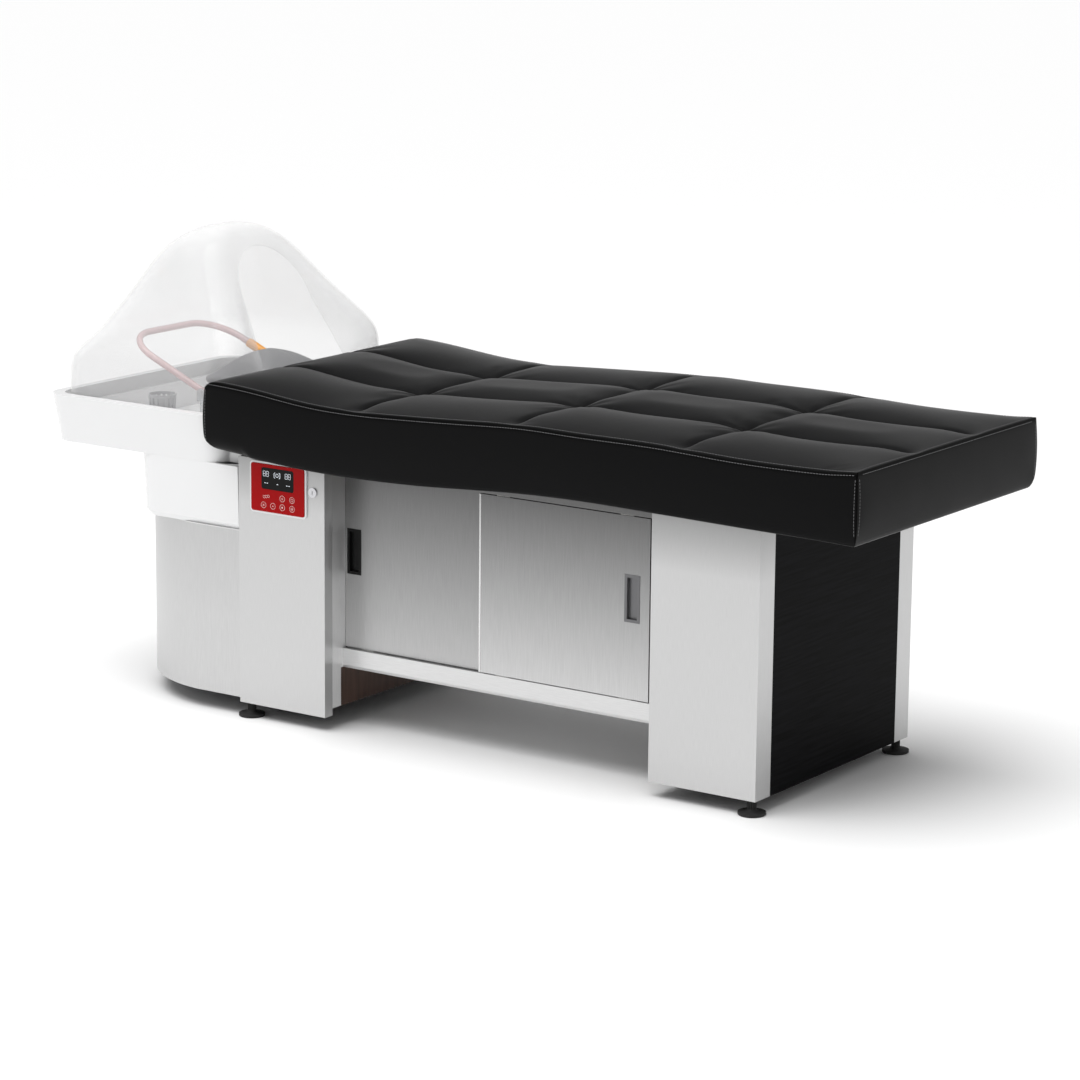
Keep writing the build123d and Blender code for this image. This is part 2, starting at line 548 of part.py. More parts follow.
# each station: place along the couch, then drop of the top edge, rise of the underside,
# crown and draw-in, as shares of the couch length, the thickness, the crown and the seam depth
STATION_SHARES = (
    (0.0, 0.0, 0.147, 0.35, 0.9),
    (0.045, 0.02, 0.073, 0.9, 0.3),
    (0.125, 0.073, 0.033, 1.0, 0.0),
    (0.25, 0.147, 0.013, 0.35, 1.0),
    (0.375, 0.09, 0.067, 1.0, 0.0),
    (0.5, 0.02, 0.135, 0.35, 1.0),
    (0.625, 0.04, 0.14, 1.0, 0.0),
    (0.75, 0.04, 0.135, 0.35, 1.0),
    (0.875, 0.067, 0.133, 1.0, 0.0),
    (0.955, 0.047, 0.12, 0.9, 0.3),
    (1.0, 0.027, 0.1, 0.35, 0.9),
)


def couch_section(along, drop, rise, crown, draw):
    """One cross section: three humps on top, bulging sides and a flat underside."""
    edge = COUCH_TOP - drop * COUCH_THICKNESS
    under = HEAD_TOP + CLEAR + rise * COUCH_THICKNESS
    side = COUCH_WIDTH / 2 - draw * COUCH_SEAM
    seam = side - COUCH_SIDE
    foot = side - COUCH_UNDERCUT
    row = COUCH_WIDTH * SEAM_ROWS_SHARE
    valley = edge + COUCH_SEAM * (1 - draw)
    peak = edge + crown * COUCH_CROWN
    middle = (edge + under) / 2
    outline = [
        Line((-foot, under), (foot, under)),
        ThreePointArc((foot, under), (side, middle), (seam, edge)),
        ThreePointArc((seam, edge), ((seam + row) / 2, peak), (row, valley)),
        ThreePointArc((row, valley), (0, peak), (-row, valley)),
        ThreePointArc((-row, valley), (-(seam + row) / 2, peak), (-seam, edge)),
        ThreePointArc((-seam, edge), (-side, middle), (-foot, under)),
    ]
    return Plane.YZ.offset(X_COUCH + along * COUCH_LENGTH) * make_face(outline)


cushion = loft([couch_section(*station) for station in STATION_SHARES])
board_start = X_COUCH + BOARD_INSET_SHARE * COUCH_LENGTH
board_end = X_COUCH + COUCH_LENGTH - BOARD_INSET_SHARE * COUCH_LENGTH
bend_start = X_COUCH + BEND_START_SHARE * COUCH_LENGTH
bend_end = X_COUCH + BEND_END_SHARE * COUCH_LENGTH
board_half = DEPTH / 2 - BOARD_MARGIN


def bent_board(grow):
    """The board, or with grow its pocket in the cushion, open below."""
    low = HEAD_TOP - (OVERRUN if grow else 0)
    high = FOOT_TOP - (OVERRUN if grow else 0)
    thick = BOARD + grow + (OVERRUN if grow else 0)
    lower = Spline((bend_start, low), (bend_end, high), tangents=((1, 0), (1, 0)))
    upper = Spline((bend_start, low + thick), (bend_end, high + thick), tangents=((1, 0), (1, 0)))
    outline = [
        Line((board_start - grow, low), (bend_start, low)),
        lower,
        Line((bend_end, high), (board_end + grow, high)),
        Line((board_end + grow, high), (board_end + grow, high + thick)),
        Line((board_end + grow, high + thick), (bend_end, high + thick)),
        upper,
        Line((bend_start, low + thick), (board_start - grow, low + thick)),
        Line((board_start - grow, low + thick), (board_start - grow, low)),
    ]
    face = make_face(outline)
    return extrude(Plane.XZ * face, board_half + grow, both=True)


couch_board = bent_board(0)
cushion -= bent_board(CLEAR)
bolts = Part()
for x, top in ((X_HEAD_FOOT, HEAD_TOP), (X_CABINET - LEG_INSET, HEAD_TOP),
               (X_FOOT + LEG_INSET, FOOT_TOP), (X_END_FOOT, FOOT_TOP)):
    for y in (-DEPTH * BOLT_Y_SHARE, DEPTH * BOLT_Y_SHARE):
        head_top = top - RAIL
        bolts += rod(BOLT_HEAD, (x, y, head_top - BOLT_HEAD_HEIGHT), (x, y, head_top))
        bolts += rod(BOLT, (x, y, head_top), (x, y, top + BOARD / 2))
        couch_board -= rod(BOLT + 2 * CLEAR, (x, y, top - OVERRUN), (x, y, top + BOARD / 2 + CLEAR))


def packer(y):
    """A wedge that fills the space between a bed rail and the rising board."""
    outline = [
        Line((bend_start, HEAD_TOP), (X_FOOT, HEAD_TOP)),
        Line((X_FOOT, HEAD_TOP), (X_FOOT, FOOT_TOP)),
        Line((X_FOOT, FOOT_TOP), (bend_end, FOOT_TOP)),
        Spline((bend_end, FOOT_TOP), (bend_start, HEAD_TOP), tangents=((-1, 0), (-1, 0))),
    ]
    return extrude(Plane.XZ.offset(-y) * make_face(outline), BED_RAIL)


nodes["bed_rails"] += both_sides(packer(y_track_back + BED_RAIL))
nodes["couch"] = cushion
nodes["couch_board"] = couch_board
nodes["couch_bolts"] = bolts

# Basin tray: a tapered tub with a seat for the hood, cut down where the couch overhangs it
TRAY_FLARE = 12.0
TRAY_RISE = 76.0
TRAY_FLOOR = 14.0
TRAY_CORNER = 45.0
TRAY_RIM = 20.0
TRAY_LEDGE = 8.0
TRAY_LIP = 20.0
TRAY_BACK_GAP = 8.0
HOOD_INSET = TRAY_RIM + CLEAR
COUCH_GAP = 4.0
z_tray = HEAD_TOP + TRAY_RISE - BASIN_DEPTH
z_floor = z_tray + TRAY_FLOOR
z_rim = z_tray + BASIN_DEPTH
z_seat = z_rim - HOOD_SEAT
x_rim_end = X_COUCH - COUCH_GAP
tray_half = DEPTH / 2 + TRAY_FLARE


def plan(x0, x1, half, corner, z):
    """A rounded rectangle, symmetrical across the bed, at one height."""
    radius = min(corner, half - CLEAR, (x1 - x0) / 2 - CLEAR)
    return Pos((x0 + x1) / 2, 0, z) * RectangleRounded(x1 - x0, 2 * half, radius)


tray = loft([plan(X_TIP + TRAY_FLARE, x_rim_end, tray_half - TRAY_FLARE, TRAY_CORNER, z_tray),
             plan(X_TIP, x_rim_end, tray_half, TRAY_CORNER, z_rim)])
x_lip_end = X_HEAD - TRAY_BACK_GAP
tray += block(x_rim_end - TRAY_RIM, x_lip_end, TRAY_CORNER - tray_half, tray_half - TRAY_CORNER, z_tray,
              z_tray + TRAY_LIP)
x_basin = X_TIP + TRAY_RIM
x_basin_end = x_rim_end - TRAY_LEDGE
tray -= extrude(plan(x_basin, x_rim_end + OVERRUN, tray_half - TRAY_RIM, TRAY_CORNER - TRAY_LEDGE, z_seat),
                HOOD_SEAT + OVERRUN)
tray -= loft([plan(x_basin + 2 * TRAY_LEDGE, x_basin_end - TRAY_LEDGE, tray_half - TRAY_RIM - 2 * TRAY_LEDGE,
                   TRAY_CORNER, z_floor),
              plan(x_basin + TRAY_LEDGE, x_basin_end, tray_half - TRAY_RIM - TRAY_LEDGE, TRAY_CORNER,
                   z_seat + CLEAR)])


def reach(share):
    """A place between the head pedestal and the tip of the basin."""
    return X_HEAD - share * BASIN_REACH


# Drain: a flanged fitting in the tray floor whose elbow runs into the tank
DRAIN_SHARE = 0.72
DRAIN_Y_SHARE = 0.3
DRAIN_PIPE = 40.0
DRAIN_WALL = 3.0
DRAIN_FLANGE = 10.0
DRAIN_DROP = 48.0
TANK_SHARE = 0.555
TANK_WALL = 4.0
TANK_CORNER = 60.0
TANK_DRAFT = 3.0
TANK_EDGE = 10.0
ELBOW_BEND = 28.0
DOOR_BACKLASH = 1.0
x_drain = reach(DRAIN_SHARE)
y_drain = -DRAIN_Y_SHARE * tray_half
x_tank = reach(TANK_SHARE)
x_tank_end = X_HEAD - SHEET - DOOR_BACKLASH
z_tank = z_tray - TANK_DEPTH
z_elbow = z_tray - DRAIN_DROP
flange_radius = DRAIN_PIPE / 2 + DRAIN_FLANGE
tray -= rod(DRAIN_PIPE + 2 * CLEAR, (x_drain, y_drain, z_tray - OVERRUN),
            (x_drain, y_drain, z_floor + OVERRUN))
x_elbow_end = x_tank + 2 * TANK_WALL
elbow_path = FilletPolyline((x_drain, y_drain, z_floor), (x_drain, y_drain, z_elbow),
                            (x_elbow_end, y_drain, z_elbow), radius=ELBOW_BEND)
elbow_start = Plane(origin=(x_drain, y_drain, z_floor), z_dir=(0, 0, -1))
elbow = sweep(elbow_start * Circle(DRAIN_PIPE / 2), path=elbow_path)
elbow += rod(2 * flange_radius, (x_drain, y_drain, z_floor), (x_drain, y_drain, z_floor + DRAIN_WALL))
elbow -= sweep(elbow_start * Circle(DRAIN_PIPE / 2 - DRAIN_WALL), path=elbow_path)
elbow -= rod(DRAIN_PIPE - 2 * DRAIN_WALL, (x_drain, y_drain, z_floor - OVERRUN), (x_drain, y_drain, z_rim))
nodes["drain_fitting"] = elbow

# Lower tank under the tray
tank_half = DEPTH / 2 - CLEAR
x_past = x_tank_end + TANK_CORNER
z_edge = z_tank + TANK_EDGE
edge_plan = plan(x_tank + TANK_DRAFT, x_past, tank_half - TANK_DRAFT, TANK_CORNER, z_edge)
tank = loft([plan(x_tank + TANK_EDGE, x_past, tank_half - TANK_EDGE, TANK_CORNER - TANK_EDGE, z_tank),
             edge_plan])
tank += loft([edge_plan, plan(x_tank, x_past, tank_half, TANK_CORNER, z_tray)])
tank -= block(x_tank_end, x_past + TANK_CORNER, -tray_half, tray_half, z_tank - OVERRUN, z_tray + OVERRUN)
tank -= extrude(plan(x_tank + TANK_DRAFT + TANK_WALL, x_tank_end - TANK_WALL,
                     tank_half - TANK_DRAFT - TANK_WALL, TANK_CORNER - TANK_WALL, z_edge), TANK_DEPTH)
tank -= rod(DRAIN_PIPE + 2 * CLEAR, (x_tank - OVERRUN, y_drain, z_elbow),
            (x_tank + 4 * TANK_WALL, y_drain, z_elbow))

# Shroud: a steel skirt, straight at the sides and round at the tip, with a closed top plate
SHROUD_STRAIGHT_SHARE = 0.232
SHROUD_TIP_SHARE = 0.742
SHROUD_CLEARANCE = 38.0
SHROUD_SIDE = 5.0
SHELF = 3.0
SHELF_UP = 6.0
x_bend = reach(SHROUD_STRAIGHT_SHARE)
x_shroud_tip = reach(SHROUD_TIP_SHARE)
x_shroud_end = X_HEAD


def shroud_plan(inset, z):
    """The D-shaped outline of the shroud, drawn in by inset."""
    half = DEPTH / 2 - SHROUD_SIDE - inset
    tip = x_shroud_tip + inset
    outline = [
        Line((x_shroud_end, -half), (x_bend, -half)),
        ThreePointArc((x_bend, -half), (tip, 0), (x_bend, half)),
        Line((x_bend, half), (x_shroud_end, half)),
        Line((x_shroud_end, half), (x_shroud_end, -half)),
    ]
    return Pos(0, 0, z) * make_face(outline)


plate_bottom = z_tank - SHEET
shroud = extrude(shroud_plan(0, SHROUD_CLEARANCE), plate_bottom - SHROUD_CLEARANCE)
shroud -= extrude(shroud_plan(SHEET, SHROUD_CLEARANCE - OVERRUN), TOTAL_LENGTH)
open_half = DEPTH / 2 - SHROUD_SIDE - SHEET
shroud -= block(x_shroud_end - SHEET, x_shroud_end + SHEET, -open_half, open_half,
                SHROUD_CLEARANCE - OVERRUN, z_rim)
# the service door's corner swings through this round
swing = math.hypot(HINGE_INSET, HINGE_INSET) + 2 * CLEAR
door_swing = rod(2 * swing, (x_hinge, y_hinge, 0), (x_hinge, y_hinge, z_rim))
shroud -= door_swing
shroud_top = extrude(shroud_plan(0, plate_bottom), SHEET) - door_swing
z_shelf = SHROUD_CLEARANCE + SHELF_UP
equipment_shelf = extrude(shroud_plan(SHEET + CLEAR, z_shelf), SHELF) - door_swing

# Neck bracket and gel neck rest, between the spray ring's legs
BRACKET_SHEET = 6.0
BRACKET_SHARE = 0.72
NECK_REST_GAP = 15.5
NECK_SEAT = 19.0
NECK_REST_HEIGHT = 74.0
NECK_CORNER = 42.0
NECK_HOLLOW = 5.0
NECK_STEP_SHARES = ((0.0, 0.07), (0.2, 0.0), (0.45, 0.02), (0.7, 0.09), (0.88, 0.22), (1.0, 0.42))
x_rest_end = X_COUCH - NECK_REST_GAP
x_rest = x_rest_end - NECK_REST_LENGTH
z_rest = z_rim + NECK_SEAT
bracket_half = BRACKET_SHARE * NECK_REST_WIDTH / 2
bracket_inset = (1 - BRACKET_SHARE) * NECK_REST_LENGTH / 2
saddle = block(x_rest + bracket_inset, x_rest_end - bracket_inset, -bracket_half, bracket_half,
               z_rest - BRACKET_SHEET, z_rest)
for side in (-1, 1):
    y = side * (bracket_half - BRACKET_SHEET / 2)
    saddle += block(x_rest + bracket_inset, x_rest_end - bracket_inset, y - BRACKET_SHEET / 2,
                    y + BRACKET_SHEET / 2, z_floor, z_rest)
nodes["neck_bracket"] = saddle
pad_layers = []
for height, draw in NECK_STEP_SHARES:
    inset = draw * NECK_REST_LENGTH / 2
    pad_layers.append(plan(x_rest + inset, x_rest_end - inset, NECK_REST_WIDTH / 2 - inset, NECK_CORNER,
                           z_rest + height * NECK_REST_HEIGHT))
pad = loft(pad_layers)
hollow_chord = NECK_REST_WIDTH / 2
hollow_radius = hollow_chord ** 2 / (4 * NECK_HOLLOW)
pad -= rod(2 * hollow_radius, (x_rest - OVERRUN, 0, z_rest + NECK_REST_HEIGHT - NECK_HOLLOW + hollow_radius),
           (x_rest_end + OVERRUN, 0, z_rest + NECK_REST_HEIGHT - NECK_HOLLOW + hollow_radius))
nodes["neck_rest"] = pad

# Spray ring: a clear tube bow that tilts on pins between the forks of two posts
RING_TUBE = 14.0
RING_EYE = 20.0
RING_EYE_LENGTH = 18.0
RING_PIN = 6.0
RING_HALF = 150.0
RING_BEND = 85.0
RING_PIVOT_SHARE = 0.4
RING_TIP_SHARE = 0.826
RING_PIVOT_UP = 12.0
RING_RISE = 95.0
CHEEK = 4.0
POST = 18.0
HOSE_TAIL = 12.0
x_pivot = reach(RING_PIVOT_SHARE)
z_pivot = z_rim + RING_PIVOT_UP
x_bow = reach(RING_TIP_SHARE)
z_bow = z_pivot + RING_RISE
leg_direction = Vector(x_bow - x_pivot, 0, RING_RISE).normalized()
ring_start = Vector(x_pivot, -RING_HALF, z_pivot)
ring_path = FilletPolyline(tuple(ring_start), (x_bow, -RING_HALF, z_bow), (x_bow, RING_HALF, z_bow),
                           (x_pivot, RING_HALF, z_pivot), radius=RING_BEND)
ring = sweep(Plane(origin=ring_start, z_dir=leg_direction) * Circle(RING_TUBE / 2), path=ring_path)
posts = Part()
for side in (-1, 1):
    y = side * RING_HALF
    eye_half = RING_EYE_LENGTH / 2
    ring += rod(RING_EYE, (x_pivot, y - eye_half, z_pivot), (x_pivot, y + eye_half, z_pivot))
    ring -= rod(RING_PIN + 2 * RUNNING, (x_pivot, y - RING_EYE, z_pivot), (x_pivot, y + RING_EYE, z_pivot))
    fork_base = z_pivot - RING_EYE / 2 - CHEEK
    post = rod(POST, (x_pivot, y, z_floor), (x_pivot, y, fork_base))
    post += rod(POST - CHEEK, (x_pivot, y, z_tray - HOSE_TAIL), (x_pivot, y, z_floor))
    cheek_out = eye_half + CLEAR + CHEEK
    post += block(x_pivot - POST / 2, x_pivot + POST / 2, y - cheek_out, y + cheek_out,
                  fork_base - CHEEK, fork_base)
    for end in (-1, 1):
        inner = y + end * (eye_half + CLEAR)
        outer = y + end * cheek_out
        post += block(x_pivot - POST / 2, x_pivot + POST / 2, min(inner, outer), max(inner, outer),
                      fork_base - CHEEK, z_pivot)
        post += rod(POST, (x_pivot, inner, z_pivot), (x_pivot, outer, z_pivot))
    post += rod(RING_PIN, (x_pivot, y - cheek_out, z_pivot), (x_pivot, y + cheek_out, z_pivot))
    posts += post
    tray -= rod(POST - CHEEK + 2 * CLEAR, (x_pivot, y, z_tray - OVERRUN), (x_pivot, y, z_floor + OVERRUN))
nodes["spray_ring"] = ring
nodes["ring_posts"] = posts

# Amber sleeve on the far leg of the ring
SLEEVE = 20.0
SLEEVE_FROM_SHARE = 0.36
SLEEVE_TO_SHARE = 0.56


def far_leg(share):
    """A point on the far leg of the ring, as a share of the way from the pivot to the bow."""
    return (x_pivot + share * (x_bow - x_pivot), RING_HALF, z_pivot + share * RING_RISE)


sleeve_from = far_leg(SLEEVE_FROM_SHARE)
sleeve_to = far_leg(SLEEVE_TO_SHARE)
sleeve = rod(SLEEVE, sleeve_from, sleeve_to)
nodes["amber_sleeve"] = sleeve - rod(RING_TUBE + 2 * RUNNING, far_leg(SLEEVE_FROM_SHARE / 2), far_leg(1.0))

# Strainer: a ribbed basket that stands on the drain flange
STRAINER = 60.0
STRAINER_FOOT = 50.0
STRAINER_HEIGHT = 66.0
STRAINER_WALL = 3.0
STRAINER_SLOTS = 16
SLOT = 4.0
z_strainer = z_floor + DRAIN_WALL
strainer = loft([Pos(0, 0, 0) * Circle(STRAINER_FOOT / 2), Pos(0, 0, STRAINER_HEIGHT) * Circle(STRAINER / 2)])
strainer -= loft([Pos(0, 0, STRAINER_WALL) * Circle(STRAINER_FOOT / 2 - STRAINER_WALL),
                  Pos(0, 0, STRAINER_HEIGHT + CLEAR) * Circle(STRAINER / 2 - STRAINER_WALL)])
slot_height = STRAINER_HEIGHT - 4 * STRAINER_WALL
slot_cut = Pos(STRAINER / 2, 0, STRAINER_HEIGHT / 2) * Box(STRAINER / 2, SLOT, slot_height)
strainer -= PolarLocations(0, STRAINER_SLOTS) * slot_cut
nodes["strainer"] = Pos(x_drain, y_drain, z_strainer) * strainer

# Hood: a thin clear shell over the basin, with a dished mouth for the neck
HOOD_WALL = 3.0
# each level: share of the height, of the half width, of the front and back reach, and of the corner
HOOD_SHARES = (
    (0.0, 1.0, 0.0, 1.0, 0.19),
    (0.25, 1.0, 0.0, 1.0, 0.19),
    (0.424, 0.91, 0.01, 0.895, 0.3),
    (0.555, 0.765, 0.085, 0.84, 0.36),
    (0.68, 0.645, 0.165, 0.79, 0.38),
    (0.813, 0.535, 0.24, 0.74, 0.38),
    (0.9, 0.42, 0.305, 0.675, 0.34),
    (0.965, 0.28, 0.36, 0.61, 0.24),
    (1.0, 0.13, 0.41, 0.545, 0.11),
)
MOUTH_LEAN = 27.0
MOUTH_HALF = 140.0
MOUTH_SHOULDER = 112.0
MOUTH_HEIGHT = 212.0
MOUTH_UP = 118.0
MOUTH_RECESS = 44.0
MOUTH_FLARE = 55.0
MOUTH_DROP = 70.0
MOUTH_SHOULDER_SHARE = 0.38
MOUTH_ARCH_SHARE = 0.66
MOUTH_LIFT_SHARE = 0.2
x_hood_front = x_rim_end - CLEAR
x_hood_back = X_TIP + HOOD_INSET
hood_length = x_hood_front - x_hood_back
hood_half = tray_half - HOOD_INSET


def hood_levels(wall):
    """The hood's outlines from the seat to the crown, drawn in by wall."""
    levels = []
    for height, width, front, back, corner in HOOD_SHARES:
        z = z_seat + height * HOOD_HEIGHT
        if wall and height == 1:
            z -= wall
        levels.append(plan(x_hood_front - back * hood_length + wall,
                           x_hood_front - front * hood_length - wall,
                           width * hood_half - wall, corner * hood_half, z))
    return levels


def mouth_outline(grow, drop, top_grow):
    """The arched outline of the mouth in its leaning plane, grown outwards by grow."""
    half = MOUTH_HALF + grow
    shoulder = MOUTH_SHOULDER + grow
    shoulder_up = MOUTH_SHOULDER_SHARE * MOUTH_HEIGHT
    top = MOUTH_HEIGHT + top_grow
    arch = shoulder * MOUTH_ARCH_SHARE
    arch_up = (shoulder_up + top) / 2 + shoulder * MOUTH_LIFT_SHARE
    left = ThreePointArc((-shoulder, shoulder_up), (-arch, arch_up), (0, top))
    right = ThreePointArc((0, top), (arch, arch_up), (shoulder, shoulder_up))
    return make_face([
        Line((half, -drop), (-half, -drop)),
        Line((-half, -drop), (-shoulder, shoulder_up)),
        left,
        right,
        Line((shoulder, shoulder_up), (half, -drop)),
    ])


def mouth_plane(out):
    """The mouth's leaning plane, moved outwards along its normal."""
    lean = math.radians(MOUTH_LEAN)
    normal = Vector(math.cos(lean), 0, math.sin(lean))
    origin = Vector(x_hood_front - MOUTH_RECESS, 0, z_rim + MOUTH_UP) + normal * out
    return Plane(origin=origin, x_dir=(0, 1, 0), z_dir=normal)


def mouth_cutter(wall):
    """The funnel that dishes the front; with wall it is one wall larger all round."""
    return loft([mouth_plane(-wall) * mouth_outline(wall, MOUTH_DROP, 0),
                 mouth_plane(2 * MOUTH_RECESS)
                 * mouth_outline(2 * MOUTH_FLARE + wall, MOUTH_DROP, MOUTH_FLARE / 2)])


def hood_solid(wall):
    """The upright skirt and the dome above it, drawn in by wall."""
    levels = hood_levels(wall)
    skirt_height = HOOD_SHARES[1][0] * HOOD_HEIGHT
    skirt = extrude(levels[0], skirt_height)
    if wall:
        skirt += extrude(levels[0], -OVERRUN)
    return skirt + loft(levels[1:])


hood = hood_solid(0) - mouth_cutter(0)
hood -= hood_solid(HOOD_WALL) - mouth_cutter(HOOD_WALL)
mouth = mouth_plane(-3 * HOOD_WALL) * mouth_outline(-HOOD_WALL, MOUTH_DROP, -HOOD_WALL)
hood -= extrude(mouth, 6 * HOOD_WALL)
nodes["hood"] = hood

# Pump, heater, hoses and waste pipe inside the shroud
PUMP = 90.0
PUMP_HEIGHT = 95.0
PUMP_SHARE = 0.33
OUTLET = 16.0
OUTLET_SPREAD = 26.0
HOSE = 13.0
HOSE_BEND = 30.0
HEATER = 60.0
HEATER_LENGTH = 150.0
HEATER_Y_SHARE = 0.5
WASTE = 32.0
WASTE_SHARE = 0.15
WASTE_Y_SHARE = 0.35
WASTE_END = 22.0
z_shelf_top = z_shelf + SHELF
x_pump = reach(PUMP_SHARE)
pump = rod(PUMP, (x_pump, 0, z_shelf_top), (x_pump, 0, z_shelf_top + PUMP_HEIGHT))
pump_top = z_shelf_top + PUMP_HEIGHT
pump += rod(PUMP / 2, (x_pump, 0, pump_top), (x_pump, 0, pump_top + OUTLET))
hoses = Part()
hose_end = z_tray - HOSE_TAIL
for side in (-1, 1):
    y_outlet = side * OUTLET_SPREAD
    pump += rod(OUTLET, (x_pump, y_outlet, pump_top - OVERRUN), (x_pump, y_outlet, pump_top + OUTLET))
    y_hose = side * RING_HALF
    path = FilletPolyline((x_pump, y_outlet, pump_top + OUTLET), (x_pump, y_outlet, pump_top + PUMP),
                          (x_pivot, y_hose, pump_top + 2 * PUMP), (x_pivot, y_hose, hose_end),
                          radius=HOSE_BEND)
    start = Plane(origin=(x_pump, y_outlet, pump_top + OUTLET), z_dir=(0, 0, 1))
    hoses += sweep(start * Circle(HOSE / 2), path=path)
    hole = rod(HOSE + 2 * CLEAR, (x_pivot, y_hose, plate_bottom - OVERRUN),
               (x_pivot, y_hose, z_tank + TANK_EDGE + OVERRUN))
    tank -= hole
    shroud_top -= hole
nodes["pump"] = pump
nodes["pump_hoses"] = hoses
y_heater = HEATER_Y_SHARE * DEPTH / 2
z_heater = z_shelf_top + HEATER / 2
x_heater = x_bend + HEATER / 2
heater = rod(HEATER, (x_heater - HEATER_LENGTH / 2, y_heater, z_heater),
             (x_heater + HEATER_LENGTH / 2, y_heater, z_heater))
for end in (-1, 1):
    x = x_heater + end * HEATER_LENGTH / 3
    heater += block(x - OUTLET / 2, x + OUTLET / 2, y_heater - HEATER / 3, y_heater + HEATER / 3,
                    z_shelf_top, z_heater)
nodes["heater"] = heater
x_waste = reach(WASTE_SHARE)
y_waste = -WASTE_Y_SHARE * DEPTH / 2
waste_top = z_tank + TANK_EDGE
waste = rod(WASTE, (x_waste, y_waste, WASTE_END), (x_waste, y_waste, waste_top))
waste += rod(WASTE + 2 * DRAIN_WALL, (x_waste, y_waste, waste_top),
             (x_waste, y_waste, waste_top + DRAIN_WALL))
waste -= rod(WASTE - 2 * DRAIN_WALL, (x_waste, y_waste, WASTE_END - OVERRUN),
             (x_waste, y_waste, z_tray))
hole = rod(WASTE + 2 * CLEAR, (x_waste, y_waste, WASTE_END), (x_waste, y_waste, waste_top + OVERRUN))
nodes["drain_pipe"] = waste
nodes["basin_tray"] = tray
nodes["lower_tank"] = tank - hole
nodes["shroud"] = shroud
nodes["shroud_top"] = shroud_top - hole
nodes["equipment_shelf"] = equipment_shelf - hole

for name, shape in nodes.items():
    export_step(shape, f"parts/{name}.step")
    print(name, len(shape.solids()))
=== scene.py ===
import math
import bpy
from mathutils import Matrix, Vector
from mathutils.bvhtree import BVHTree


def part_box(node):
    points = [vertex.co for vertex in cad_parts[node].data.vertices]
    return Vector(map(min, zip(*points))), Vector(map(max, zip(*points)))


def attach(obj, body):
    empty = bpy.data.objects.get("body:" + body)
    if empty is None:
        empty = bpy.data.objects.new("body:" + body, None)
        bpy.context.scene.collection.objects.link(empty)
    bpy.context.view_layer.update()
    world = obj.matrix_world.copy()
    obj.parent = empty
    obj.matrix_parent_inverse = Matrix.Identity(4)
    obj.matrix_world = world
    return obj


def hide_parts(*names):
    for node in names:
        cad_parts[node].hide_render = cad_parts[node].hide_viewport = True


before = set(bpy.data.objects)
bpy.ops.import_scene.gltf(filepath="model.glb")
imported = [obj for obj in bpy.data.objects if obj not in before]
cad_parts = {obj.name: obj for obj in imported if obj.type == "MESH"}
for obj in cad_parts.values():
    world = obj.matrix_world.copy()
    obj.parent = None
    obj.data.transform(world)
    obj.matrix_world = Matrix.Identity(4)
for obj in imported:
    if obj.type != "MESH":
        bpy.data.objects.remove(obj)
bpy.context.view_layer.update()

# The bed stands on a plain pale floor in soft studio light: a wide sheet of light
# above, a large one at the front left, and soft daylight that falls steeply.
floor_width = 160
bpy.ops.object.select_all(action="DESELECT")
bpy.ops.mesh.primitive_plane_add(size=floor_width)
floor = bpy.context.object
floor.name = "studio_floor"
floor_paint = bpy.data.materials.new("studio_floor_paint")
floor_paint.use_nodes = True
paint_shader = floor_paint.node_tree.nodes["Principled BSDF"]
paint_shader.inputs["Base Color"].default_value = (0.93, 0.93, 0.93, 1)
paint_shader.inputs["Roughness"].default_value = 0.75
floor.data.materials.append(floor_paint)

studio_world = bpy.data.worlds.new("studio_air")
studio_world.use_nodes = True
studio_air = studio_world.node_tree.nodes["Background"]
studio_air.inputs["Color"].default_value = (1, 1, 1, 1)
studio_air.inputs["Strength"].default_value = 0.42
bpy.context.scene.world = studio_world
bpy.context.scene.view_settings.view_transform = "Standard"


def softbox(name, place, aim, size, power):
    """One rectangular studio light at place, turned towards aim."""
    lamp = bpy.data.lights.new(name, "AREA")
    lamp.shape = "RECTANGLE"
    lamp.size = size[0]
    lamp.size_y = size[1]
    lamp.energy = power
    holder = bpy.data.objects.new(name, lamp)
    holder.location = place
    holder.rotation_euler = (Vector(aim) - Vector(place)).to_track_quat("-Z", "Y").to_euler()
    bpy.context.scene.collection.objects.link(holder)


softbox("ceiling_light", (0, -0.5, 4.2), (0, 0, 0.5), (4.5, 3.0), 50)
softbox("front_light", (-2.6, -4.6, 2.6), (0, 0, 0.4), (3.0, 2.2), 14)
daylight = bpy.data.lights.new("soft_daylight", "SUN")
daylight.energy = 2.25
daylight.angle = math.radians(55)
daylight_holder = bpy.data.objects.new("soft_daylight", daylight)
daylight_holder.rotation_euler = Vector((0.1, 0.28, -1)).to_track_quat("-Z", "Y").to_euler()
bpy.context.scene.collection.objects.link(daylight_holder)

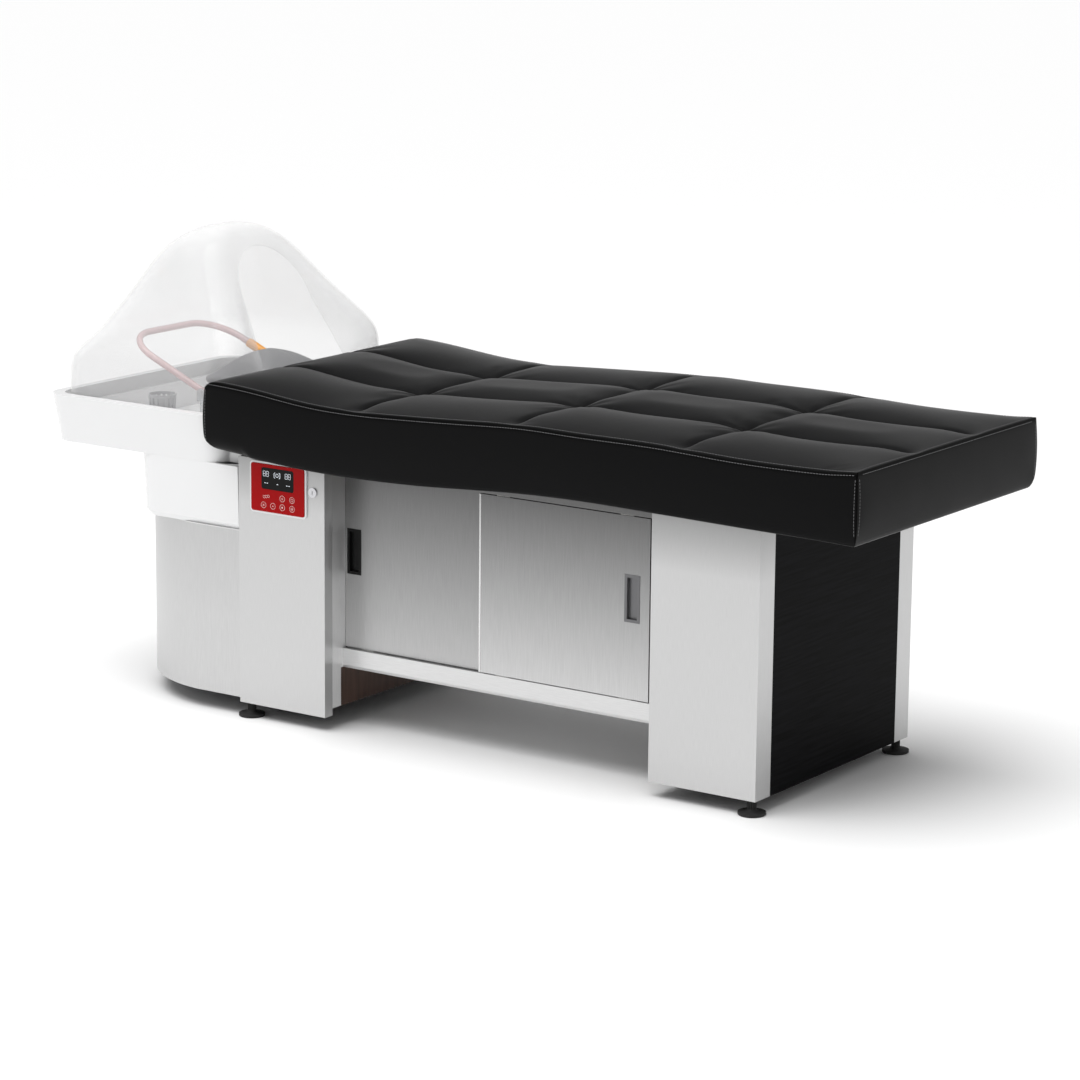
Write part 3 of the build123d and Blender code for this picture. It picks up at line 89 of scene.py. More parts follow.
# The camera stands to the right of the bed's foot end and looks down a little, where
# the photograph was taken from.
camera_place = Vector((4.33295, -6.1854, 2.03816))
camera_yaw = math.radians(34.62)
camera_pitch = math.radians(12.36)
camera_roll = math.radians(0.54)
ahead = Vector((-math.sin(camera_yaw) * math.cos(camera_pitch), math.cos(camera_yaw) * math.cos(camera_pitch),
                -math.sin(camera_pitch)))
level = Vector((math.cos(camera_yaw), math.sin(camera_yaw), 0))
upright = level.cross(ahead)
right = level * math.cos(camera_roll) + upright * math.sin(camera_roll)
top = upright * math.cos(camera_roll) - level * math.sin(camera_roll)
lens = bpy.data.cameras.new("studio_camera")
lens.lens = 127.18
lens.sensor_width = 36
camera = bpy.data.objects.new("studio_camera", lens)
camera.matrix_world = Matrix((
    (right.x, top.x, -ahead.x, camera_place.x),
    (right.y, top.y, -ahead.y, camera_place.y),
    (right.z, top.z, -ahead.z, camera_place.z),
    (0, 0, 0, 1),
))
bpy.context.scene.collection.objects.link(camera)
bpy.context.scene.camera = camera

# The pedestals' covers, doors and rails are folded from brushed stainless sheet. Its
# grain runs upright on the covers and doors, and level on the rail under the doors.
# Towards the top its colour is painted darker, a painted shade and painted reflection of the couch's dark
# underside.


def new_finish(name, colour, roughness, metallic=0.0):
    """A material with its shader set, and the shader for a piece's own nodes to join."""
    finish = bpy.data.materials.new(name)
    finish.use_nodes = True
    shader = finish.node_tree.nodes["Principled BSDF"]
    shader.inputs["Base Color"].default_value = (*colour, 1)
    shader.inputs["Roughness"].default_value = roughness
    shader.inputs["Metallic"].default_value = metallic
    return finish, shader


def add_node(finish, kind, **values):
    """A shader node with its named inputs filled in."""
    node = finish.node_tree.nodes.new(kind)
    for name, value in values.items():
        node.inputs[name.replace("_", " ")].default_value = value
    return node


def join(finish, source, target):
    """A wire from one socket to another."""
    finish.node_tree.links.new(source, target)


def object_place(finish, stretch=(1, 1, 1)):
    """The object's own coordinates in metres, stretched along its axes."""
    place = finish.node_tree.nodes.new("ShaderNodeTexCoord")
    shape = add_node(finish, "ShaderNodeMapping", Scale=stretch)
    join(finish, place.outputs["Object"], shape.inputs["Vector"])
    return shape.outputs["Vector"]


def drawn_grain(finish, stretch, scale, detail=4.0):
    """Noise drawn out along one axis."""
    noise = add_node(finish, "ShaderNodeTexNoise", Scale=scale, Detail=detail)
    join(finish, object_place(finish, stretch), noise.inputs["Vector"])
    return noise.outputs["Fac"]


def blend_colours(finish, amount, stops):
    """A ramp through two or more colours by the amount."""
    ramp = finish.node_tree.nodes.new("ShaderNodeValToRGB")
    while len(ramp.color_ramp.elements) < len(stops):
        ramp.color_ramp.elements.new(0.5)
    for element, (place, colour) in zip(ramp.color_ramp.elements, stops):
        element.position = place
        element.color = (*colour, 1)
    join(finish, amount, ramp.inputs["Fac"])
    return ramp.outputs["Color"]


def rough_range(finish, shader, amount, low, high):
    """Roughness that follows the amount between two values."""
    span = add_node(finish, "ShaderNodeMapRange", To_Min=low, To_Max=high)
    join(finish, amount, span.inputs["Value"])
    join(finish, span.outputs["Result"], shader.inputs["Roughness"])


def raise_surface(finish, shader, amount, strength, distance):
    """Bump that follows the amount."""
    bump = add_node(finish, "ShaderNodeBump", Strength=strength, Distance=distance)
    join(finish, amount, bump.inputs["Height"])
    join(finish, bump.outputs["Normal"], shader.inputs["Normal"])


def grey(tone):
    """The grey of one tone."""
    return tone, tone, tone


def brushed_steel(name, stretch, light, dark, painted_shade=None, scale=150, dull=0.0):
    """Sheet with fine grain between two greys; the fifth argument, if given, holds the heights where a
    painted shade starts and ends, and its darkest tone.
    """
    finish, shader = new_finish(name, grey(light), 0.36, 0.8)
    grain = drawn_grain(finish, stretch, scale)
    colour = blend_colours(finish, grain, ((0.3, grey(dark)), (0.7, grey(light))))
    if painted_shade:
        # painted shade: between the two heights the colour is darkened, down to the darkest tone at the top
        shade_low, shade_high, shade_tone = painted_shade
        place = finish.node_tree.nodes.new("ShaderNodeSeparateXYZ")
        join(finish, object_place(finish), place.inputs["Vector"])
        height = add_node(finish, "ShaderNodeMapRange", From_Min=shade_low, From_Max=shade_high)
        join(finish, place.outputs["Z"], height.inputs["Value"])
        shade = blend_colours(finish, height.outputs["Result"], ((0, grey(1)), (1, grey(shade_tone))))
        shaded_colour = finish.node_tree.nodes.new("ShaderNodeVectorMath")
        shaded_colour.operation = "MULTIPLY"
        join(finish, colour, shaded_colour.inputs[0])
        join(finish, shade, shaded_colour.inputs[1])
        colour = shaded_colour.outputs["Vector"]
    join(finish, colour, shader.inputs["Base Color"])
    rough_range(finish, shader, grain, 0.3 + dull, 0.42 + dull)
    raise_surface(finish, shader, grain, 0.02, 0.0003)
    return finish


def dress(names, finish):
    """CAD nodes take a finish in every one of their material slots."""
    for name in names:
        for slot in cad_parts[name].material_slots:
            slot.material = finish


upright_grain = (14, 14, 0.25)
level_grain = (0.25, 14, 14)
door_grain = (14, 14, 0.2)
# a tuple of two heights and a tone darkens a steel towards the top as painted shade: under the couch on the
# covers, doors and jambs, and under the tank on the shroud
upright_steel = brushed_steel("upright_brushed_steel", upright_grain, 0.61, 0.56, (0.45, 0.57, 0.5))
level_steel = brushed_steel("level_brushed_steel", level_grain, 0.73, 0.63)
door_steel = brushed_steel("door_brushed_steel", door_grain, 0.65, 0.55, (0.15, 0.55, 0.2), 110)
# the left door takes a darker copy of the doors' steel: painted shade over the whole left door
shaded_left_steel = brushed_steel("left_door_shaded_steel", door_grain, 0.54, 0.45, (0.15, 0.55, 0.24), 110)
jamb_steel = brushed_steel("jamb_brushed_steel", upright_grain, 0.9, 0.8, (0.3, 0.55, 0.4), dull=0.2)
shroud_steel = brushed_steel("shroud_brushed_steel", upright_grain, 0.61, 0.54, (0.2, 0.55, 0.86))
dress(("foot_front_cover", "foot_rear_cover", "head_rear_cover", "service_door", "lock_strike",
       "cabinet_back"), upright_steel)
dress(("shroud",), shroud_steel)
dress(("right_door", "upper_track"), door_steel)
dress(("left_door",), shaded_left_steel)
dress(("head_jambs", "door_stiles"), jamb_steel)
dress(("bottom_rail", "cabinet_floor", "shroud_top", "lower_track"), level_steel)

# The right door's meeting edge is hemmed. The fold is a thin strip that stands a little proud
# of the door. Its steel is lighter than the door's and not darkened at the top: a painted
# highlight that shows as one bright line down the doors.
hem_width = 0.0042
hem_thickness = 0.0009
hem_forward = 0.0003
hem_round = 0.0004
edge_low, edge_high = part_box("right_door")
bpy.ops.object.select_all(action="DESELECT")
hem_place = (edge_low[0] + hem_width / 2, edge_low[1] - hem_forward, (edge_low[2] + edge_high[2]) / 2)
bpy.ops.mesh.primitive_cube_add(size=1, location=hem_place,
                                scale=(hem_width, hem_thickness, edge_high[2] - edge_low[2]))
door_hem = bpy.context.object
door_hem.name = "door_hem"
bpy.ops.object.transform_apply(location=True, rotation=False, scale=True)
bpy.ops.object.mode_set(mode="EDIT")
bpy.ops.mesh.select_all(action="SELECT")
bpy.ops.mesh.bevel(offset=hem_round, segments=3, affect="EDGES")
bpy.ops.object.mode_set(mode="OBJECT")
bpy.ops.object.shade_smooth()
hem_highlight_steel, shader = new_finish("hem_painted_highlight_steel", grey(0.72), 0.25, 0.7)
raise_surface(hem_highlight_steel, shader, drawn_grain(hem_highlight_steel, upright_grain, 150), 0.02, 0.0003)
door_hem.data.materials.append(hem_highlight_steel)
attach(door_hem, "right_door")

# Inside the pedestals the legs, rings and bed rails are square tube in dark powder
# coat, on levelling feet of black rubber. The screws, bolts and lock are chrome.


def plain_finish(name, colour, roughness, metallic=0.0):
    """A smooth material of one colour."""
    return new_finish(name, colour, roughness, metallic)[0]


powder_coat, shader = new_finish("dark_powder_coat", (0.05, 0.05, 0.055), 0.5)
raise_surface(powder_coat, shader, drawn_grain(powder_coat, (1, 1, 1), 900, 2), 0.15, 0.0003)
dress(("foot_frame", "head_frame", "bed_rails", "equipment_shelf", "hinge_pins"), powder_coat)
foot_rubber, shader = new_finish("foot_rubber", grey(0.012), 0.7)
raise_surface(foot_rubber, shader, drawn_grain(foot_rubber, (1, 1, 1), 700, 3), 0.2, 0.0003)
dress(("head_front_foot", "head_rear_foot", "end_front_foot", "end_rear_foot"), foot_rubber)
polished_chrome = plain_finish("polished_chrome", (0.55, 0.55, 0.57), 0.14, 1.0)
dress(("return_screws", "couch_bolts", "lock_barrel", "lock_plug"), polished_chrome)

# The foot end is closed by a board in black wood-grain laminate, and the inner sides
# of the pedestals by boards in dark brown laminate.


def colour_range(finish, shader, amount, stops):
    """Base colour that follows the amount through the stops."""
    join(finish, blend_colours(finish, amount, stops), shader.inputs["Base Color"])


black_laminate, shader = new_finish("black_wood_laminate", (0.005, 0.005, 0.006), 0.38)
shader.inputs["Specular IOR Level"].default_value = 0.02
wood_grain = drawn_grain(black_laminate, (3, 0.35, 9), 22, 7)
colour_range(black_laminate, shader, wood_grain, ((0.35, grey(0.001)), (0.65, (0.006, 0.006, 0.007))))
rough_range(black_laminate, shader, wood_grain, 0.3, 0.5)
raise_surface(black_laminate, shader, wood_grain, 0.12, 0.0004)
dress(("foot_end_panel",), black_laminate)
brown_laminate, shader = new_finish("brown_wood_laminate", (0.05, 0.02, 0.012), 0.4)
wood_grain = drawn_grain(brown_laminate, (3, 9, 0.5), 14, 6)
colour_range(brown_laminate, shader, wood_grain,
             ((0.3, (0.03, 0.012, 0.006)), (0.7, (0.075, 0.035, 0.022))))
dress(("foot_inner_panel", "head_inner_panel", "head_basin_panel"), brown_laminate)

# The doors' recessed pulls are pressed boxes: black plastic on the left door, and a
# grey frame round a dark inside on the right one. The doors glide on nylon blocks.
pull_plastic, shader = new_finish("pull_black_plastic", grey(0.004), 0.4)
shader.inputs["Specular IOR Level"].default_value = 0.2
dress(("left_pull", "inlet_socket"), pull_plastic)
pull_frame = plain_finish("pull_grey_metal", (0.16, 0.16, 0.165), 0.35, 0.7)
dress(("right_pull",), pull_frame)
glide_nylon = plain_finish("glide_nylon", (0.7, 0.7, 0.67), 0.5)
dress(("right_glides", "left_glides"), glide_nylon)

# The control panel is a glossy red plate in a white bezel, with a black display behind
# clear plastic. Its seven touch keys are printed rings, and the display shows figures.
bezel_plastic = plain_finish("bezel_white_plastic", (0.8, 0.81, 0.82), 0.25)
dress(("control_bezel",), bezel_plastic)
red_gloss, shader = new_finish("red_gloss_plastic", (0.36, 0.0, 0.001), 0.2)
shader.inputs["Specular IOR Level"].default_value = 0.1
dress(("control_plate",), red_gloss)
display_glass, shader = new_finish("display_black_glass", grey(0.001), 0.08)
shader.inputs["Specular IOR Level"].default_value = 0.15
dress(("display",), display_glass)
circuit_green = plain_finish("circuit_board_green", (0.01, 0.09, 0.03), 0.45)
dress(("control_board",), circuit_green)
lit_ink, shader = new_finish("lit_white_segments", (0.8, 0.85, 0.9), 0.5)
shader.inputs["Emission Color"].default_value = (0.85, 0.92, 1.0, 1)
shader.inputs["Emission Strength"].default_value = 0.35
key_ink = plain_finish("printed_key_ink", (0.85, 0.72, 0.7), 0.5)

panel_face = -0.295
print_height = 0.00012
ink_marks = []
lit_marks = []


def ink_bar(x, z, length, height, marks, turn=0.0):
    """One printed bar on the panel's face, centred at x and z."""
    bpy.ops.mesh.primitive_cube_add(size=1, location=(x, panel_face, z), rotation=(0, turn, 0),
                                    scale=(length, 2 * print_height, height))
    marks.append(bpy.context.object)


def ink_ring(x, z, radius, thickness, marks):
    """One printed ring on the panel's face."""
    bpy.ops.mesh.primitive_torus_add(location=(x, panel_face, z), rotation=(math.radians(90), 0, 0),
                                     major_radius=radius, minor_radius=thickness / 2,
                                     major_segments=28, minor_segments=6)
    bpy.ops.transform.resize(value=(1, 0.5, 1))
    marks.append(bpy.context.object)


def one_piece(marks, name, finish, body):
    """Marks are joined into one piece at the origin that rides on a body."""
    bpy.ops.object.select_all(action="DESELECT")
    for mark in marks:
        mark.select_set(True)
    bpy.context.view_layer.objects.active = marks[0]
    bpy.ops.object.join()
    bpy.ops.object.transform_apply(location=True, rotation=True, scale=True)
    piece = bpy.context.object
    piece.name = name
    piece.data.materials.clear()
    piece.data.materials.append(finish)
    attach(piece, body)
    return piece


figure_height = 0.0105
figure_width = 0.0058
figure_row = 0.5175
segment = 0.0007
for figure_x in (-0.4105, -0.4025, -0.3545, -0.3465):
    for level in (-1, 0, 1):
        ink_bar(figure_x, figure_row + level * figure_height / 2, figure_width - segment, segment, lit_marks)
    for side in (-1, 1):
        for half in (-1, 1):
            ink_bar(figure_x + side * figure_width / 2, figure_row + half * figure_height / 4, segment,
                    figure_height / 2 - segment, lit_marks)

# a ring between two brackets, and a row of five lamps under the figures
symbol_x, symbol_z = -0.378, 0.5165
bracket_out, bracket_height = 0.0075, 0.009
hook_out, hook_rise, hook_length, hook_turn = 0.0062, 0.005, 0.0032, 0.5
stroke = 0.001
ink_ring(symbol_x, symbol_z, 0.0034, stroke, lit_marks)
for side in (-1, 1):
    ink_bar(symbol_x + side * bracket_out, symbol_z, 0.0011, bracket_height, lit_marks)
    for end in (1, -1):
        ink_bar(symbol_x + side * hook_out, symbol_z + end * hook_rise, hook_length, stroke, lit_marks,
                end * side * hook_turn)
lamp_row, lamp_length, lamp_height = 0.4985, 0.0034, 0.0013
for lamp_x in (-0.409, -0.403, -0.377, -0.353, -0.347):
    ink_bar(lamp_x, lamp_row, lamp_length, lamp_height, lit_marks)
display_segments = one_piece(lit_marks, "display_segments", lit_ink, "service_door")

# six ringed keys with their marks, and a seventh of three rings in a wave
upper_keys, lower_keys = 0.4705, 0.4525
key_columns = (-0.413, -0.389, -0.365, -0.340)
key_radius = 0.0062
key_stroke, thin_stroke = 0.0007, 0.0006
mark_length = 0.0055
cross_turn = 0.8
wave_x, wave_step, wave_rise = -0.406, 0.0055, 0.001
key_places = [(x, upper_keys) for x in key_columns[2:]] + [(x, lower_keys) for x in key_columns]
for key_x, key_z in key_places:
    ink_ring(key_x, key_z, key_radius, key_stroke, ink_marks)
for wave in (-1, 0, 1):
    ink_ring(wave_x + wave * wave_step, upper_keys + wave_rise * wave, 0.0027, thin_stroke, ink_marks)
first, second, third, fourth = key_columns
ink_bar(third, upper_keys, mark_length, key_stroke, ink_marks)
ink_bar(third, upper_keys, key_stroke, mark_length, ink_marks)
ink_ring(fourth, upper_keys, 0.0028, key_stroke, ink_marks)
ink_bar(first, lower_keys, mark_length, key_stroke, ink_marks, cross_turn)
ink_bar(first, lower_keys, mark_length, key_stroke, ink_marks, -cross_turn)
ink_ring(second, lower_keys, 0.0009, 0.0009, ink_marks)
ink_ring(third, lower_keys, 0.0012, 0.0014, ink_marks)
ink_bar(fourth, lower_keys, mark_length, key_stroke, ink_marks)
ink_ring(fourth, lower_keys, 0.0026, thin_stroke, ink_marks)
printed_keys = one_piece(ink_marks, "printed_keys", key_ink, "service_door")

# The couch is a bent cushion in black leatherette on a plywood board: twelve padded
# panels between sunk seams, pulled deepest where the seams cross, with plain sides
# that are sewn on along a double-stitched edge.
couch_start = -0.5265
couch_length = 1.52
couch_half = 0.345
couch_columns = 128
couch_rows = 51
couch_layers = 8
# each station: share of the length, height of the top edge and of the underside
couch_stations = (
    (-0.07, 0.704, 0.57),
    (0.0, 0.702, 0.562),
    (0.063, 0.6975, 0.555),
    (0.172, 0.682, 0.546),
    (0.25, 0.6795, 0.545),
    (0.346, 0.685, 0.549),
    (0.41, 0.69, 0.555),
    (0.51, 0.698, 0.564),
    (0.6, 0.697, 0.567),
    (0.715, 0.697, 0.565),
    (0.84, 0.6905, 0.562),
    (0.955, 0.692, 0.56),
    (1.0, 0.6975, 0.558),
    (1.07, 0.704, 0.557),
)
panel_crown = 0.0105
edge_round = 0.045
seam_depth = 0.008
seam_width = 0.006
seam_run_out = 0.03
crossing_depth = 0.006
crossing_width = 0.034
seam_gather = 0.55
under_tuck = 0.005
head_tuck = 0.009
head_length = 0.1
tuck_share = 0.16
head_drop = 0.013
head_round = 0.022
side_swell = 0.003
couch_slack = 0.006
nearly_none = 1e-4
nearly_top = 0.999


def couch_height(share, column):
    """A smooth curve through the stations: the top edge or the underside."""
    last = len(couch_stations) - 2
    step = next(number for number in range(1, last)
                if share <= couch_stations[number + 1][0] or number == last - 1)
    before, start, end, after = (couch_stations[step + move] for move in (-1, 0, 1, 2))
    slope_in = (end[column] - before[column]) / (end[0] - before[0])
    slope_out = (after[column] - start[column]) / (after[0] - start[0])
    span = end[0] - start[0]
    way = (share - start[0]) / span
    return ((2 * way**3 - 3 * way**2 + 1) * start[column] + (way**3 - 2 * way**2 + way) * span * slope_in
            + (3 * way**2 - 2 * way**3) * end[column] + (way**3 - way**2) * span * slope_out)


def gathered(share, panels):
    """A share moved towards the nearest seam, so that the grid is finer there."""
    return share - seam_gather / (2 * math.pi * panels) * math.sin(2 * math.pi * panels * share)


def couch_quilt(along, across):
    """How far the padding stands above or below the top edge at one spot."""
    x = along * couch_length
    y = (across - 0.5) * 2 * couch_half
    to_cross_seam = min(abs(x - couch_length * quarter / 4) for quarter in (1, 2, 3))
    to_long_seam = min(abs(y - couch_half / 3), abs(y + couch_half / 3))
    to_edge = max(0, min(x, couch_length - x, couch_half - abs(y)))
    to_crossing = math.hypot(to_cross_seam, to_long_seam)
    to_seam = min(to_cross_seam, to_long_seam)
    crown = panel_crown * (1 - math.exp(-(to_edge / edge_round)**2))
    seam = seam_depth * math.exp(-(to_seam / seam_width)**2) * (1 - math.exp(-(to_edge / seam_run_out)**2))
    crossing = crossing_depth * math.exp(-(to_crossing / crossing_width)**2)
    return crown - seam - crossing


def padded_block(name, columns, rows, layers):
    """A closed block of even grid faces, with each vertex's share along, across and up."""
    bpy.ops.object.select_all(action="DESELECT")
    bpy.ops.mesh.primitive_grid_add(x_subdivisions=columns, y_subdivisions=rows, size=1, location=(0, 0, 0))
    block = bpy.context.object
    block.name = name
    bpy.ops.object.mode_set(mode="EDIT")
    bpy.ops.mesh.select_all(action="SELECT")
    bpy.ops.mesh.extrude_region_move(TRANSFORM_OT_translate={"value": (0, 0, 1)})
    for layer in range(1, layers):
        bpy.ops.mesh.select_all(action="SELECT")
        bpy.ops.mesh.bisect(plane_co=(0, 0, layer / layers), plane_no=(0, 0, 1))
    bpy.ops.mesh.select_all(action="SELECT")
    bpy.ops.mesh.normals_make_consistent(inside=False)
    bpy.ops.object.mode_set(mode="OBJECT")
    return block, [(vertex.co.x + 0.5, vertex.co.y + 0.5, vertex.co.z) for vertex in block.data.vertices]


couch, couch_places = padded_block("padded_couch", couch_columns, couch_rows, couch_layers)
for vertex, (column, row, level) in zip(couch.data.vertices, couch_places):
    along = gathered(column, 4)
    across = gathered(row, 3)
    top = couch_height(along, 1)
    under = couch_height(along, 2)
    from_head = along * couch_length
    turned_in = (under_tuck + head_tuck * (from_head < head_length)) * max(0, 1 - level / tuck_share)**2
    top -= head_drop * max(0, 1 - from_head / head_round)**2
    swell = side_swell * math.sin(math.pi * level)
    reach = 1 + (swell - turned_in) / couch_half
    reach_along = 1 + 2 * (swell - turned_in) / couch_length
    rise = under + (top - under) * level
    if level > nearly_top:
        rise = top + couch_quilt(along, across)
    vertex.co = (couch_start + couch_length / 2 + (along - 0.5) * (couch_length - couch_slack) * reach_along,
                 (across - 0.5) * 2 * couch_half * reach, rise)


def on_seam(along, across, level):
    """Whether a spot of the couch is sewn or glued down."""
    at_end = min(along, 1 - along) < nearly_none
    at_side = min(across, 1 - across) < nearly_none
    if level < nearly_none:
        return True
    if level > nearly_top:
        on_cross_seam = min(abs(along - quarter / 4) for quarter in (1, 2, 3)) < nearly_none
        on_long_seam = min(abs(across - 1 / 3), abs(across - 2 / 3)) < 10 * nearly_none
        return at_end or at_side or on_cross_seam or on_long_seam
    return at_end and at_side


def pressed(piece, held, strength, cap, frames, stiffness=15):
    """The padding's swelling, as cloth blown up from inside and held at its seams."""
    before = [vertex.co.copy() for vertex in piece.data.vertices]
    pins = piece.vertex_groups.new(name="sewn")
    pins.add([number for number, spot in enumerate(held) if spot], 1, "REPLACE")
    bpy.ops.object.select_all(action="DESELECT")
    piece.select_set(True)
    bpy.context.view_layer.objects.active = piece
    cover = piece.modifiers.new("cover", "CLOTH")
    cover.settings.vertex_group_mass = "sewn"
    cover.settings.use_pressure = True
    cover.settings.uniform_pressure_force = strength
    cover.settings.effector_weights.gravity = 0
    cover.settings.mass = 0.3
    cover.settings.quality = 5
    cover.settings.tension_stiffness = stiffness
    cover.settings.compression_stiffness = stiffness
    cover.settings.bending_stiffness = 0.5
    cover.settings.air_damping = 2
    for step in range(1, frames + 1):
        bpy.context.scene.frame_set(step)
    bpy.ops.object.modifier_apply(modifier=cover.name)
    bpy.context.scene.frame_set(1)
    for vertex, start in zip(piece.data.vertices, before):
        move = vertex.co - start
        if move.length > cap:
            vertex.co = start + move * (cap / move.length)
    piece.vertex_groups.clear()


def finish_modifier(piece, name, kind, **settings):
    """A modifier that is set and applied at once."""
    modifier = piece.modifiers.new(name, kind)
    for setting, value in settings.items():
        setattr(modifier, setting, value)
    bpy.ops.object.select_all(action="DESELECT")
    piece.select_set(True)
    bpy.context.view_layer.objects.active = piece
    bpy.ops.object.modifier_apply(modifier=modifier.name)


couch_sewn = [on_seam(*place) for place in couch_places]
# seam_shade is 1 at the sewn spots of the top and sides, where the leatherette's painted shade goes
seam_shade = couch.data.attributes.new("seam_shade", "FLOAT", "POINT")
for number, (place, sewn) in enumerate(zip(couch_places, couch_sewn)):
    seam_shade.data[number].value = float(sewn and place[2] > nearly_none)
pressed(couch, couch_sewn, 3.0, 0.009, 18)
top_crease = 0.75
corner_crease = 0.6
crease = couch.data.attributes.new("crease_edge", "FLOAT", "EDGE")
for edge in couch.data.edges:
    first, second = (couch_places[number] for number in edge.vertices)
    if couch_sewn[edge.vertices[0]] and couch_sewn[edge.vertices[1]]:
        along_top = first[2] > nearly_top and second[2] > nearly_top
        upright_seam = abs(first[2] - second[2]) > nearly_none
        crease.data[edge.index].value = top_crease if along_top else corner_crease if upright_seam else 0.0
finish_modifier(couch, "smooth", "SUBSURF", levels=1, render_levels=1)
bpy.ops.object.shade_smooth()

leather_black = (0.0055, 0.0055, 0.0057)
leatherette, shader = new_finish("black_leatherette", leather_black, 0.42)
shader.inputs["Specular IOR Level"].default_value = 0.035
shader.inputs["Sheen Weight"].default_value = 0.32
shader.inputs["Sheen Roughness"].default_value = 0.28
# the sewn spots are painted near black: a painted shade in the seams' grooves and along the sewn edges
painted_seam_shade = leatherette.node_tree.nodes.new("ShaderNodeAttribute")
painted_seam_shade.attribute_name = "seam_shade"
colour_range(leatherette, shader, painted_seam_shade.outputs["Fac"], ((0.1, leather_black), (0.9, grey(0.001))))
skin = add_node(leatherette, "ShaderNodeTexVoronoi", Scale=650)
join(leatherette, object_place(leatherette), skin.inputs["Vector"])
raise_surface(leatherette, shader, skin.outputs["Distance"], 0.12, 0.0006)
rough_range(leatherette, shader, drawn_grain(leatherette, (1, 1, 1), 9, 5), 0.34, 0.46)
couch.data.materials.append(leatherette)
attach(couch, "bed")
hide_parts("couch")
board_wood, shader = new_finish("couch_board_plywood", (0.35, 0.24, 0.13), 0.6)
wood_grain = drawn_grain(board_wood, (0.6, 9, 9), 14, 6)
colour_range(board_wood, shader, wood_grain, ((0.3, (0.28, 0.18, 0.09)), (0.7, (0.42, 0.3, 0.17))))
dress(("couch_board",), board_wood)

# Two rows of grey thread follow the couch's sewn edge, one on the top and one on the
# side, and two rows run down each corner seam.
thread_grey = plain_finish("seam_thread_grey", (0.13, 0.13, 0.133), 0.6)
cushion_skin = BVHTree.FromPolygons([vertex.co for vertex in couch.data.vertices],
                                    [tuple(face.vertices) for face in couch.data.polygons])
stitch_step = 0.0062
stitch_share = 0.66
stitch_radius = 0.0006
stitch_lift = 0.0002
edge_inset = 0.0055
edge_clear = 0.004
line_margin = 0.009
foot_margin = 0.006
foot_inset = 0.003
side_spans = 96
half_foot_spans = 22
corner_inset = 0.006
corner_foot = 0.582
corner_step = 0.0105


def stitch_line(places, name):
    """A run of thread on the cushion's skin: one stitch, repeated along the seam's line."""
    line = bpy.data.curves.new(name + "_line", "CURVE")
    line.dimensions = "3D"
    run = line.splines.new("POLY")
    run.points.add(len(places) - 1)
    for point, place in zip(run.points, places):
        spot, normal = cushion_skin.find_nearest(place)[:2]
        point.co = (*(spot + normal * stitch_lift), 1)
    seam_line = bpy.data.objects.new(name + "_line", line)
    bpy.context.scene.collection.objects.link(seam_line)
    bpy.ops.object.select_all(action="DESELECT")
    bpy.ops.mesh.primitive_cylinder_add(vertices=6, radius=stitch_radius, depth=stitch_step * stitch_share,
                                        location=(0, 0, 0), rotation=(0, math.radians(90), 0))
    stitch = bpy.context.object
    bpy.ops.object.transform_apply(location=False, rotation=True, scale=False)
    finish_modifier(stitch, "repeat", "ARRAY", fit_type="FIT_CURVE", curve=seam_line,
                    use_relative_offset=False, use_constant_offset=True,
                    constant_offset_displace=(stitch_step, 0, 0))
    finish_modifier(stitch, "follow", "CURVE", object=seam_line, deform_axis="POS_X")
    bpy.data.objects.remove(seam_line)
    return stitch


def couch_edge_line(inset, drop):
    """Points round the couch's sewn edge, moved inwards by inset and down by drop."""
    front = []
    for number in range(side_spans + 1):
        along = number / side_spans
        x = couch_start + line_margin + along * (couch_length - 2 * line_margin)
        front.append((x, -couch_half + inset, couch_height(along, 1) - drop))
    foot_x = couch_start + couch_length - foot_inset - inset
    foot = [(foot_x, (number / half_foot_spans - 1) * (couch_half - foot_margin), couch_height(1, 1) - drop)
            for number in range(1, 2 * half_foot_spans)]
    back = [(x, couch_half - inset, z) for x, y, z in reversed(front)]
    return front + foot + back


threads = [stitch_line(couch_edge_line(edge_inset, -edge_clear), "top_thread"),
           stitch_line(couch_edge_line(-edge_clear, edge_inset), "side_thread")]
for end, outward in ((couch_start, -1), (couch_start + couch_length, 1)):
    for side in (-1, 1):
        for along_in, across_in in ((corner_inset, -edge_clear), (-edge_clear, corner_inset)):
            spot = (end - outward * along_in, side * (couch_half - across_in))
            threads.append(stitch_line([(*spot, corner_foot + number * corner_step) for number in range(11)],
                                       "corner_thread"))
seam_threads = one_piece(threads, "seam_threads", thread_grey, "bed")

# The basin is a tapered tub in glossy white plastic, with a smaller tank of the same
# plastic under it. A drain and a lift-out strainer stand in its floor.
basin_white, shader = new_finish("basin_gloss_white", (0.82, 0.822, 0.825), 0.2)
shader.inputs["Subsurface Weight"].default_value = 0.06
shader.inputs["Subsurface Radius"].default_value = (0.01, 0.01, 0.01)
shader.inputs["Coat Weight"].default_value = 0.3
shader.inputs["Coat Roughness"].default_value = 0.08
dress(("basin_tray", "lower_tank", "drain_fitting", "drain_pipe", "neck_bracket"), basin_white)
strainer_plastic = plain_finish("strainer_grey_plastic", (0.42, 0.42, 0.43), 0.35)
dress(("strainer",), strainer_plastic)

